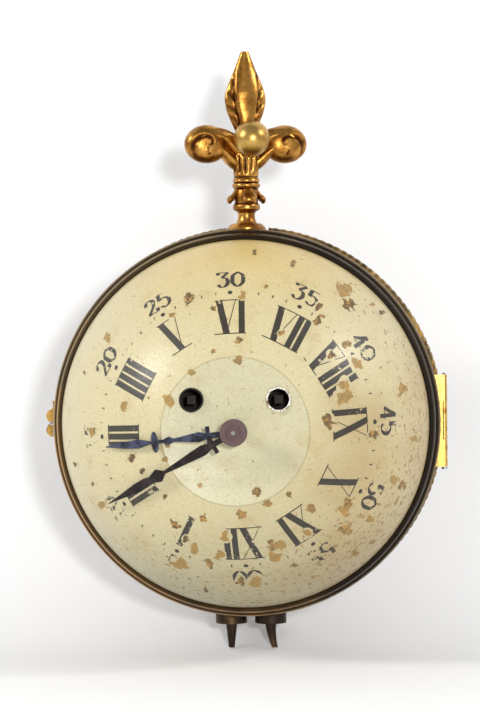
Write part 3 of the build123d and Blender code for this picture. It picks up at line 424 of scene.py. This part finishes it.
flute_count = 12
flute_depth = 0.14
flute_middle, flute_half = 34, 4.6
stem_profile = np.array(
    [
        [0.0, 3.9], [5.4, 3.9], [5.2, 4.5], [4.6, 5.8], [4.3, 7.4], [4.3, 8.6], [4.7, 9.8],
        [6.1, 10.7], [6.8, 11.3], [6.9, 12.4], [6.7, 13.5], [6.1, 14.0], [5.9, 15.0], [6.1, 17.0],
        [5.9, 19.5], [5.6, 21.4], [6.4, 21.9], [7.1, 22.9], [7.0, 24.0], [6.1, 24.6], [6.7, 25.1],
        [6.8, 25.9], [6.3, 26.9], [6.0, 27.4], [6.3, 28.4], [6.5, 30.5], [6.8, 33.5], [7.3, 37.0],
        [6.4, 39.5], [4.0, 41.0], [0.0, 41.4],
    ]
)
stem_curve = smooth(stem_profile, 200)
stem_radius = np.maximum(stem_curve[:, :1], 0)
stem_height = stem_curve[:, 1:]
theta = np.linspace(0, 2 * np.pi, 96, endpoint=False)[None, :]
fluted = np.exp(-(((stem_height - flute_middle) / flute_half) ** 6))
flute = fluted * (0.5 - 0.5 * np.cos(flute_count * theta)) ** 1.5
stem_round = stem_radius * (1 - flute_depth * flute)
stem_grid = on_finial(stem_round * np.sin(theta), stem_round * np.cos(theta), stem_height)
# Painted shade: dark rings in the narrow waists under the ring and between the beads.
shade_ring_heights, shade_ring_half = np.array([[14.2, 21.4, 24.6, 27.5]]), 0.5
recess_rings = np.exp(-(((stem_height - shade_ring_heights) / shade_ring_half) ** 2)).max(1)
stem_recess = np.maximum(flute, recess_rings[:, None] * np.ones_like(theta))

tip_path = smooth(
    [[4.6, 22.6], [5.4, 20.2], [6.6, 18.2], [7.8, 16.9], [8.4, 15.6], [7.6, 14.9]], 40
)
share = np.linspace(0, 1, len(tip_path))
tip_thick = np.interp(share, [0, 0.4, 0.7, 1], [0.9, 1.3, 1.8, 1.3])
tip_wide = np.interp(share, [0, 0.3, 0.7, 1], [2.2, 3.0, 3.5, 2.4])
tip_out, tip_up, tip_side, tip_recess = swept(tip_path, tip_thick, tip_wide, 16)
stem_grids, stem_marks = [stem_grid], [stem_recess]
for quarter in range(4):
    c, s = math.cos(quarter * math.pi / 2), math.sin(quarter * math.pi / 2)
    stem_grids.append(on_finial(tip_out * s + tip_side * c, tip_out * c - tip_side * s, tip_up))
    stem_marks.append(tip_recess)

gilt = Finish("gilt brass", Metallic=1.0)
gilt_cloud = gilt.noise(140, 5.0, 0.6)
gilt_fine = gilt.noise(900, 3.0, 0.6, 3.0)
recess_shade = gilt.mark("recess")
gilt_worn = gilt.mix(gilt_cloud.step(0.38, 0.62), tint(192, 140, 68), tint(138, 92, 38))
# Painted shade: the recess mark darkens the flutes, grooves, undercuts and waists to dark brown, broken
# up by the cloud.
gilt_recess_shade = (recess_shade + gilt_cloud - 0.5).step(0.35, 0.95)
gilt.set("Base Color", gilt.mix(gilt_recess_shade, gilt_worn, tint(64, 34, 14)))
gilt.set("Roughness", gilt_cloud * 0.25 + gilt_recess_shade * 0.25 + 0.18)
gilt.bump(gilt_fine * 0.5 + gilt_cloud, 0.12 * MM)

stem = skin("finial_stem_fluted", stem_grids, closed_v=True, values={"recess": stem_marks})
adorn(stem, gilt, "case", "gilt_brass", "finial_stem")
dress("finial_flange", gilt)

# Lily: the tall leaf has a raised middle blade over side lobes with undercuts darkened by painted shade,
# and its tip is broken off flat. Its outline is widest two thirds up, and narrow where the scrolls
# spring.
leaf_outline = smooth(
    [[4.6, 38], [4.9, 44], [5.2, 50], [7.3, 55], [9.7, 61], [10.6, 67], [9.6, 72], [7.6, 77],
     [5.4, 82], [3.7, 86.5], [2.3, 90.2], [1.9, 91]], 130
)
leaf_width = leaf_outline[:, :1]
leaf_height = leaf_outline[:, 1:]
leaf_depth = np.interp(leaf_height, [38, 50, 60, 70, 80, 91], [4.2, 5.0, 5.6, 4.9, 3.2, 1.5])
end_taper = np.sqrt(np.clip(1 - np.linspace(-1, 1, len(leaf_width)) ** 40, 0, 1))[:, None]
phi = np.linspace(0, 2 * np.pi, 128, endpoint=False)[None, :]
u = np.cos(phi)
blade_edge = np.interp(leaf_height, [38, 55, 66, 78, 84, 91], [0.9, 0.50, 0.55, 0.80, 1.1, 1.2])
undercut = np.exp(-(((np.abs(u) - blade_edge) / 0.06) ** 2))
outside = 1 / (1 + np.exp(-(np.abs(u) - blade_edge) / 0.03))
lobes = outside * (0.5 + 0.5 * np.cos((leaf_height - np.abs(u) * 9.0 + 2.5 * np.sign(u)) * 0.95)) ** 2
leaf_recess = np.clip(0.75 * undercut + 0.85 * lobes * np.abs(np.sin(phi)) ** 0.3, 0, 1)
leaf_front = leaf_depth * np.sign(np.sin(phi)) * np.abs(np.sin(phi)) ** 1.15
leaf_front = leaf_front * (1 - 0.22 * outside) * (1 - 0.42 * leaf_recess)
leaf_grid = on_finial(leaf_width * end_taper * u, leaf_front * end_taper, leaf_height)

# Scrolls: each is a fat rolled leaf, a lens-shaped body with a spiral groove sunk in both faces,
# that hangs from an arm. The arm rises out of the cup and ends in a small hook at the eye.
scroll_centre = (20.3, 44.2)
scroll_half_width, scroll_half_height, scroll_half_depth = 11.4, 9.7, 6.6
groove_turns, groove_start, groove_depth = 1.1, 0.6, 0.16
arm_path = smooth(
    [[2.5, 33], [6.8, 35.8], [10.6, 39.4], [14.4, 42.3], [18.6, 43.0], [21.2, 41.4], [20.6, 39.4],
     [18.9, 39.7]], 60
)
arm_share = np.linspace(0, 1, len(arm_path))
arm_thick = np.interp(arm_share, [0, 0.35, 0.6, 0.8, 1], [4.0, 3.0, 2.4, 1.5, 0.9])
arm_wide = np.interp(arm_share, [0, 0.35, 0.6, 0.8, 1], [4.0, 5.2, 6.6, 7.4, 7.2])
crest_path = smooth([[0.5, 38], [5.0, 42.5], [9.5, 46.6], [15.0, 49.2], [21.5, 49.2], [27, 45]], 60)
crest_thick = np.interp(arm_share, [0, 0.4, 0.7, 1], [5.0, 4.6, 3.4, 2.0])
crest_wide = np.interp(arm_share, [0, 0.4, 0.7, 1], [4.2, 5.6, 6.2, 5.4])
rho = np.concatenate([np.linspace(0, 1, 50), np.linspace(1, 0, 50)[1:]])[:, None]
face_side = np.concatenate([np.ones(50), -np.ones(49)])[:, None]
scroll_groove = np.cos(theta + groove_turns * 2 * np.pi * np.sqrt(rho) + groove_start)
scroll_recess = np.clip((scroll_groove - 0.72) / 0.28, 0, 1) * np.sin(np.pi * rho) ** 0.5
scroll_relief = 1 - groove_depth * scroll_recess
lily_grids, lily_marks = [leaf_grid], [leaf_recess]
for side in (-1, 1):
    radial_x = scroll_centre[0] + scroll_half_width * rho * np.cos(theta)
    radial_up = scroll_centre[1] + scroll_half_height * rho * np.sin(theta)
    depth = scroll_half_depth * face_side * (1 - rho**3) ** 0.5 * scroll_relief
    lily_grids.append(on_finial(side * radial_x, depth, radial_up))
    lily_marks.append(scroll_recess)
    for path, thick, wide, ridges, ridge_depth in (
        (arm_path, arm_thick, arm_wide, 0, 0.0),
        (crest_path, crest_thick, crest_wide, 5, 0.12),
    ):
        out, up, across, mark = swept(path, thick, wide, 24, ridges, ridge_depth)
        lily_grids.append(on_finial(side * out, across, up))
        lily_marks.append(mark)
lily = skin("finial_lily_carved", lily_grids, closed_v=True, crease=50, values={"recess": lily_marks})
adorn(lily, gilt, "case", "gilt_brass", "finial_lily")

# Ball knob: plain turned brass, more matt than the gilding round it.
ball_brass = mottled(
    "matt ball brass", 1.0, 120, 4.0, (0.35, 0.7), tint(200, 164, 92), tint(168, 128, 64), 0.27, 0.15
)
dress("finial_ball", ball_brass)

# Hinge and catch: bright filed brass with a little tarnish in patches.
bright_brass = mottled(
    "bright filed brass", 1.0, 160, 4.0, (0.45, 0.7), tint(220, 176, 96), tint(140, 100, 48), 0.15, 0.3
)
for node in ("door_hinge_leaf", "case_hinge_leaf", "catch_plate", "catch_button", "catch_arm"):
    dress(node, bright_brass)

# Bezel: moulded brass whose lacquer has gone brown. The grooves and the inner lip are near-black with
# painted shade;
# the crests carry painted highlights, lighter along the upper left and brightest along the lower left,
# and stay dark along the right.
groove_front, lip_radius = 12.5 * MM, 94.0 * MM
bezel_finish = Finish("bezel brass", Metallic=0.9)
x, y, up, out = bezel_finish.about_axis()
wear_and_light_cloud = bezel_finish.noise(45, 5.0, 0.6)
# Painted light: the crests are lighter on the left and brightest at the lower left, broken up by the
# cloud.
lower_left_highlight = (x * -6 + up * -5 + wear_and_light_cloud * 1.2 - 0.75).step(0.0, 0.6)
upper_left_light = (x * -5 + up * 4 + wear_and_light_cloud * 0.8 - 0.4).step(0.0, 0.6)
outer_bead = (y + groove_front).step(0.0, 0.0008)
body_colour = bezel_finish.mix(outer_bead, tint(56, 45, 34), tint(104, 86, 54))
body_colour = bezel_finish.mix(upper_left_light, body_colour, tint(126, 104, 64))
body_colour = bezel_finish.mix(lower_left_highlight, body_colour, tint(176, 134, 74))
# Painted shade: the middle groove and the inner lip go near-black.
from_groove = (y + groove_front).sum("ABSOLUTE")
inner_groove = (lip_radius - out).step(0.0, 0.0009)
middle_groove = (0.0011 - from_groove).step(0.0, 0.0006)
groove_shade = inner_groove.sum("MAXIMUM", middle_groove)
bezel_finish.set("Base Color", bezel_finish.mix(groove_shade * 0.85, body_colour, tint(34, 26, 18)))
bezel_finish.set("Roughness", wear_and_light_cloud * 0.25 + groove_shade * 0.3 + 0.2)
bezel_finish.bump(bezel_finish.noise(500, 4.0), 0.08 * MM)
for node in ("bezel", "dial_pins"):
    dress(node, bezel_finish)

# Dial: cream paint on a copper dome, with a dished middle. The paint is crazed all over, yellower along
# the top, greener in the dish, painted greyer and darker towards the bottom as painted shade, and is
# peppered with brown specks.
dome_radius = 93.5
dish_radius, dish_floor, dish_curve = 35.0, 83.70, 205.7
dish_edge = 35.2 * MM
paint = Finish("crazed cream paint", Coat_Roughness=0.3, Coat_Weight=0.15)
x, _, up, out = paint.about_axis()
broad = paint.noise(22, 3.0, 0.5, 2.0)
stain = paint.noise(70, 5.0, 0.65, 5.0)
speck = paint.noise(420, 4.0, 0.65, 7.0)
fleck = paint.noise(950, 2.0, 0.6, 9.0)
cells = paint.node(
    "ShaderNodeTexVoronoi",
    {"feature": "DISTANCE_TO_EDGE"},
    {"Vector": paint.node("ShaderNodeTexCoord", output=3), "Scale": 420.0, "Randomness": 1.0},
)
craze = (0.035 - cells).step(0.0, 0.03)
yellowed = (up + broad * 0.03 - 0.015).step(0.045, 0.095)
# Painted shade: greyer and darker towards the bottom.
painted_shade_below = (up * -1 + broad * 0.03 - 0.015).step(0.03, 0.095)
ground = paint.mix(yellowed, tint(206, 194, 152), tint(210, 184, 118))
ground = paint.mix(painted_shade_below, ground, tint(178, 172, 138))
in_dish = (dish_edge - out).step(0.0, 0.0006)
ground = paint.mix(in_dish * 0.6, ground, tint(196, 193, 160))
tanned = (x * 8 - up * 4 + broad * 1.2 - 0.75).step(0.0, 0.7)
ground = paint.mix(tanned * 0.6, ground, tint(166, 138, 86))
ground = paint.mix(stain.step(0.50, 0.78) * 0.6, ground, tint(184, 158, 104))
ground = paint.mix(craze * 0.28, ground, tint(120, 100, 64))
soiled = (x * 6 - up * 7 + (out - 0.075) * 20 + 0.35).step(0.0, 1.4)
specked = (speck + soiled * 0.10).step(0.655, 0.70)
ground = paint.mix(specked * 0.85, ground, tint(140, 108, 62))
ground = paint.mix((fleck + soiled * 0.05).step(0.72, 0.76) * 0.8, ground, tint(92, 70, 44))
# Painted shade: a faint dark ring at the crease where the dome meets the dish.
dish_edge_shade = (0.0006 - (out - dish_edge).sum("ABSOLUTE")).step(0.0, 0.0004)
ground = paint.mix(dish_edge_shade * 0.3, ground, tint(120, 104, 72))
rim_shade = (out - 0.0895).step(0.0, 0.003)
ground = paint.mix(rim_shade * 0.5, ground, tint(110, 92, 56))
ink, worn, flake_depth, flake_tone = (paint.mark(name) for name in ("ink", "worn", "flake", "tone"))
ragged = paint.noise(300, 4.0, 0.6, 12.0)
flaked = (flake_depth + ragged * 2.2 - 1.42).step(0.0, 0.06) * flake_depth.step(0.0, 0.02)
ink_left = ink * (stain * 0.45 + speck * 0.55 - worn).step(0.0, 0.04)
surface = paint.mix(ink_left * 0.96, ground, tint(34, 28, 26))
browner = (flake_tone + speck * 1.6 - 1.3).step(-0.3, 0.5)
bare = paint.mix(browner, tint(160, 130, 74), tint(98, 76, 44))
bare = paint.mix((0.47 - speck).step(0.0, 0.1) * 0.7, bare, tint(190, 142, 68))
surface = paint.mix(flaked, surface, bare)
paint.set("Base Color", surface)
paint.set("Roughness", stain * 0.2 + specked * 0.2 + flaked * 0.25 + 0.30)
paint.bump(cells.step(0.0, 0.06) * 0.4 + stain * 0.5 - specked * 0.4, 0.1 * MM)
dress("dial", paint)

# Numerals: black Roman hours with Arabic minutes outside them, feet to the centre, on thin plates
# bent to the dome. The dial is set with VI uppermost and turned 2.7 degrees to the left.
dial_turn = math.radians(-2.7)
plate_top, plate_bottom = 0.05, -0.12
hour_arc, hour_height = 58.0, 20.0
minute_arc, minute_height = 82.0, 11.4
stroke_width, stroke_gap = 2.9, 0.95
hairline, serif_height = 0.4, 0.55
v_width, v_stroke, v_foot = 10.2, 3.2, 0.3
x_width, x_stroke = 10.6, 3.3
digit_width, digit_spread = 6.5, 7.2
track_arc = 72.6
mark_width, mark_half, mark_wear = 0.55, 0.9, 0.43
dot_radius, dot_wear = 1.15, 0.37


def bent(arc, clockwise, across, outward, lift):
    """Row-frame points on the dome from millimetres across and outward in a plane that touches it
    arc millimetres from its pole, clockwise from the top in radians, lifted by lift."""
    polar = arc / dome_radius
    sine, cosine = math.sin(clockwise + dial_turn), math.cos(clockwise + dial_turn)
    to_right = (cosine, -sine, 0.0)
    to_out = (sine * math.cos(polar), cosine * math.cos(polar), -math.sin(polar))
    start = (sine * math.sin(polar), cosine * math.sin(polar), math.cos(polar))
    x, y, front = (
        dome_radius * start[axis] + across * to_right[axis] + outward * to_out[axis] for axis in range(3)
    )
    scale = (dome_radius + lift) / np.sqrt(x**2 + y**2 + front**2) * MM
    return in_row(x * scale, y * scale, front * scale)


def slab(left, right, arc, clockwise, steps=4):
    """A closed plate between two edges, each [n, 2] of (across, outward) millimetres."""
    share = np.linspace(0, 1, steps)[None, :, None]
    flat = left[:, None] * (1 - share) + right[:, None] * share
    top = bent(arc, clockwise, flat[..., 0], flat[..., 1], plate_top)
    low = bent(arc, clockwise, flat[..., 0], flat[..., 1], plate_bottom)
    ring = np.concatenate([top, low[:, ::-1]], axis=1)
    first_cap = np.repeat(ring[:1].mean(1, keepdims=True), ring.shape[1], 1)
    last_cap = np.repeat(ring[-1:].mean(1, keepdims=True), ring.shape[1], 1)
    return np.concatenate([first_cap, ring, last_cap])


def straight(x_low, x_high, width, low, high):
    """Edges of an upright or slanting bar, from its middle at low to its middle at high."""
    along = np.linspace(0, 1, 12)
    middle = x_low + (x_high - x_low) * along
    rise = low + (high - low) * along
    edge = np.stack([middle - width / 2, rise], -1)
    return edge, edge + [width, 0]


def roman(word):
    """Edges of the bars of a Roman numeral centred on 0, from its letters' advances."""
    half = hour_height / 2
    widths = {"I": stroke_width, "V": v_width, "X": x_width}
    total = sum(widths[letter] for letter in word) + stroke_gap * (len(word) - 1)
    at = -total / 2
    bars = []
    for letter in word:
        wide = widths[letter]
        middle = at + wide / 2
        if letter == "I":
            bars.append(straight(middle, middle, stroke_width, -half, half))
        if letter == "V":
            bars.append(straight(middle + v_foot, at + v_stroke / 2, v_stroke, -half, half))
            bars.append(straight(middle + v_foot, at + wide - hairline, hairline, -half, half))
        if letter == "X":
            bars.append(straight(at + wide - 1.9, at + 1.9, x_stroke, -half, half))
            bars.append(straight(at + 0.6, at + wide - 0.6, hairline, -half, half))
        at += wide + stroke_gap
    for height in (-half + serif_height / 2, half - serif_height / 2):
        bars.append(straight(0, 0, total + 1.0, height - serif_height / 2, height + serif_height / 2))
    return bars


def penned(points):
    """Edges of a pen stroke through points in a digit's unit box: thick upright, thin level."""
    line = (smooth(points, 40) - 0.5) * [digit_width, minute_height]
    ahead = np.gradient(line, axis=0)
    ahead /= np.linalg.norm(ahead, axis=1)[:, None]
    width = 0.5 + 1.5 * np.abs(ahead[:, 1:]) ** 1.5
    normal = np.stack([-ahead[:, 1], ahead[:, 0]], -1)
    return line + normal * width / 2, line - normal * width / 2


digit_strokes = {
    "0": [
        [(0.5, 0.97), (0.14, 0.75), (0.1, 0.5), (0.14, 0.25), (0.5, 0.03), (0.86, 0.25), (0.9, 0.5),
         (0.86, 0.75), (0.5, 0.97)],
    ],
    "1": [
        [(0.5, 0.0), (0.5, 0.5), (0.5, 1.0)],
        [(0.2, 0.80), (0.35, 0.86), (0.5, 0.97)],
        [(0.2, 0.02), (0.5, 0.02), (0.8, 0.02)],
    ],
    "2": [
        [(0.15, 0.72), (0.28, 0.93), (0.55, 0.98), (0.82, 0.8), (0.72, 0.5), (0.4, 0.25), (0.15, 0.05)],
        [(0.12, 0.05), (0.5, 0.06), (0.88, 0.05), (0.92, 0.25)],
    ],
    "3": [
        [(0.12, 0.82), (0.14, 0.97), (0.5, 0.97), (0.86, 0.97)],
        [(0.86, 0.97), (0.62, 0.78), (0.42, 0.6)],
        [(0.42, 0.6), (0.75, 0.55), (0.88, 0.3), (0.7, 0.07), (0.4, 0.02), (0.14, 0.18)],
    ],
    "4": [
        [(0.68, 0.0), (0.68, 0.5), (0.68, 1.0)],
        [(0.66, 0.98), (0.4, 0.62), (0.08, 0.28)],
        [(0.08, 0.28), (0.5, 0.28), (0.96, 0.28)],
    ],
    "5": [
        [(0.85, 0.96), (0.5, 0.95), (0.22, 0.97)],
        [(0.22, 0.97), (0.2, 0.75), (0.18, 0.54)],
        [(0.18, 0.54), (0.5, 0.63), (0.86, 0.45), (0.84, 0.18), (0.5, 0.02), (0.14, 0.14)],
    ],
    "6": [
        [(0.84, 0.86), (0.6, 0.98), (0.3, 0.85), (0.12, 0.5), (0.16, 0.2), (0.5, 0.02), (0.86, 0.2),
         (0.84, 0.45), (0.5, 0.56), (0.16, 0.38)],
    ],
}
hours = ["VI", "VII", "VIII", "IX", "X", "XI", "XII", "I", "II", "III", "IIII", "V"]
minutes = ["30", "35", "40", "45", "50", "55", "60", "5", "10", "15", "20", "25"]
hour_wear = [0.38, 0.37, 0.37, 0.38, 0.38, 0.40, 0.41, 0.40, 0.40, 0.39, 0.37, 0.36]
minute_wear = [0.40, 0.38, 0.40, 0.41, 0.42, 0.44, 0.45, 0.47, 0.47, 0.48, 0.42, 0.40]
numeral_grids, numeral_worn = [], []


def print_on(edges, arc, clockwise, wear):
    """Adds one bar or pen stroke to the dial's printing."""
    grid = slab(edges[0], edges[1], arc, clockwise)
    numeral_grids.append(grid)
    numeral_worn.append(np.full(grid.shape[:2], wear))


for place in range(12):
    clockwise = place * math.pi / 6
    for bar in roman(hours[place]):
        print_on(bar, hour_arc, clockwise, hour_wear[place])
    for index, digit in enumerate(minutes[place]):
        shift = (index - (len(minutes[place]) - 1) / 2) * digit_spread
        for points in digit_strokes[digit]:
            left, right = penned(points)
            print_on((left + [shift, 0], right + [shift, 0]), minute_arc, clockwise, minute_wear[place])
    mark = straight(0, 0, mark_width, -mark_half, mark_half)
    for step in range(1, 5):
        print_on(mark, track_arc, clockwise + step * math.pi / 30, mark_wear)
    bow = np.linspace(-1, 1, 14)
    half_chord = np.sqrt(np.clip(1 - bow**2, 0.01, 1)) * dot_radius
    edge = np.stack([-half_chord, bow * dot_radius], -1)
    print_on((edge, edge * [-1, 1]), track_arc, clockwise, dot_wear)
numerals = skin(
    "dial_numerals",
    numeral_grids,
    closed_v=True,
    values={"ink": [np.ones_like(worn_here) for worn_here in numeral_worn], "worn": numeral_worn},
)
adorn(numerals, paint, "door", "painted_dial")

# Flakes: the places where the paint has come off down to brown metal and size. Each is a thin
# patch with a wandering edge, given as right, up and radius in millimetres.
flake_places = [
    (-23, 63, 2.8), (-11, 58, 1.7), (-31, 55, 1.7), (-64, 44, 2.4), (2, 43, 2.3), (2, 34, 2.6),
    (-10, 38, 1.3), (-20, 28, 2), (-31, 15, 3.1), (-54, 12, 2.4), (3, 64, 2.1), (-41, 16, 1.2),
    (-76, 27, 1.1), (51, 66, 4.6), (53, 59, 3.4), (39, 58, 2.1), (39, 52, 2.8), (45, 35, 2.1),
    (52, 40, 2.4), (57, 31, 3.1), (51, 21, 3.1), (51, 15, 4), (44, 4, 3.4), (79, 18, 3.1),
    (26, 79, 1.8), (7, 85, 1.5), (14, 68, 1.2), (22, 46, 1.7), (64, 59, 1.3), (69, 55, 1.7),
    (65, -3, 2.4), (-71, -1, 2.6), (-50, -12, 2.3), (-32, -6, 1.6), (-33, -13, 1.7),
    (-45, -19, 1.6), (-72, -27, 1.8), (-68, -37, 2.6), (-17, -25, 1.6), (-34, -31, 1.5),
    (-30, -45, 2.9), (-16, -41, 2.2), (-25, -52, 2), (-21, -57, 2.6), (-29, -65, 4.1),
    (2, -39, 2.9), (-6, -50, 2.9), (-9, -60, 2.6), (-14, -65, 2.6), (-82, -18, 1.5), (0, -74, 2.6),
    (-18, -80, 1.6), (10, -29, 2.7), (15, -34, 2.3), (25, -30, 1.7), (35, -37, 2.6), (50, -39, 3),
    (52, -36, 2.7), (62, -44, 2.3), (51, -49, 3.6), (16, -55, 3.6), (20, -55, 2.7), (17, -61, 3.4),
    (33, -49, 2.1), (74, -26, 3), (78, -29, 2.4), (84, -7, 1.8), (26, -66, 1.7), (34, -73, 1.5),
    (7, -74, 3.6), (55, -62, 2.2), (63, -57, 1.5),
]
flake_top = 0.09
chance = np.random.default_rng(7)
rings = np.concatenate([np.linspace(0, 1, 10), [1.0, 0.0]])[:, None]
turn = np.linspace(0, 2 * np.pi, 36, endpoint=False)[None, :]
flake_grids, flake_marks, flake_tones = [], [], []


def dial_point(x, y, lift):
    """Row-frame points on the dial's face, dome or dish, from right and up in millimetres."""
    radius = np.sqrt(x**2 + y**2)
    dome = np.sqrt(np.maximum((dome_radius + lift) ** 2 - radius**2, 1.0))
    dish = dish_floor + dish_curve - np.sqrt(dish_curve**2 - radius**2) + lift
    front = np.where(radius < dish_radius, dish, dome)
    return in_row(x * MM, y * MM, front * MM)


for x, y, radius in flake_places:
    waves = sum(
        chance.uniform(0.3, 1.0) / order * np.sin(order * turn + chance.uniform(0, 6.3))
        for order in (2, 3, 5, 8)
    )
    reach = radius * (1.25 + 0.35 * waves) * rings
    lift = np.array([flake_top] * 10 + [plate_bottom] * 2)[:, None]
    flake_grids.append(dial_point(x + reach * np.cos(turn), y + reach * np.sin(turn), lift))
    flake_marks.append(np.repeat(1 - rings, reach.shape[1], 1))
    flake_tones.append(np.full(reach.shape, chance.uniform(0.0, 1.0)))
marks = {"flake": flake_marks, "tone": flake_tones}
flakes = skin("dial_flakes", flake_grids, closed_v=True, values=marks)
adorn(flakes, paint, "door", "painted_dial")

# Winding eyelets: the left is bare and dark, the right still has its bright ring, chewed at the
# edge by the key. The arbors and ratchets behind the holes are painted as dark as the left one, as
# painted shade inside the holes.
dark_eyelet_and_hole_shade = Finish("dark eyelet and hole shade", Metallic=0.5, Roughness=0.7)
dark_eyelet_and_hole_shade.set("Base Color", tint(40, 31, 24))
# Painted shade: the arbors and ratchets take the dark colour so that the holes read dark.
for side in ("going", "strike"):
    dress(f"{side}_winding_arbor", dark_eyelet_and_hole_shade)
    dress(f"{side}_ratchet", dark_eyelet_and_hole_shade)
dress("going_winding_eyelet", dark_eyelet_and_hole_shade)
silvered = mottled(
    "worn silvered ring", 1.0, 500, 4.0, (0.5, 0.6), tint(205, 200, 188), tint(110, 84, 56), 0.2, 0.3
)
dress("strike_winding_eyelet", silvered)
eyelet_x, eyelet_y, eyelet_front = 20.6, 15.0, 86.3
eyelet_ring_radius = 5.55
ring_turn = np.linspace(0, 2 * np.pi, 120, endpoint=False)[:, None]
ring_section = np.linspace(0, 2 * np.pi, 12, endpoint=False)[None, :]
ragged = 0.38 + 0.10 * np.sin(9 * ring_turn) + 0.08 * np.sin(23 * ring_turn + 1.0)
ring_reach = eyelet_ring_radius + ragged * np.cos(ring_section)
ring_grid = in_row(
    (eyelet_x + ring_reach * np.cos(ring_turn)) * MM,
    (eyelet_y + ring_reach * np.sin(ring_turn)) * MM,
    (eyelet_front + 0.05 + 0.5 * ragged * np.sin(ring_section)) * MM,
)
eyelet_ring = skin("strike_eyelet_ring", [ring_grid], closed_u=True, closed_v=True)
adorn(eyelet_ring, silvered, "door", "aged_brass")

# Hands: thin shaped steel gone brown-black, with a trace of blue left on the hour hand. The boss
# of the minute hand and the nut are purple-brown.
boss_radius = 6.7 * MM
hand_steel = mottled(
    "browned steel", 0.7, 160, 4.0, (0.45, 0.7), tint(38, 32, 31), tint(66, 56, 56), 0.25, 0.3
)
*_, out = hand_steel.about_axis()
on_boss = (boss_radius - out).step(0.0, 0.0003)
hand_steel.set("Base Color", hand_steel.mix(on_boss, hand_steel.colour, tint(88, 70, 68)))
dress("minute_hand", hand_steel)
blued = mottled(
    "blued steel", 0.7, 160, 4.0, (0.42, 0.62), tint(40, 40, 48), tint(78, 84, 104), 0.25, 0.3
)
dress("hour_hand", blued)
nut_bronze = Finish("purple-brown nut", Metallic=0.8, Roughness=0.35)
nut_bronze.set("Base Color", tint(86, 68, 66))
dress("hand_nut", nut_bronze)
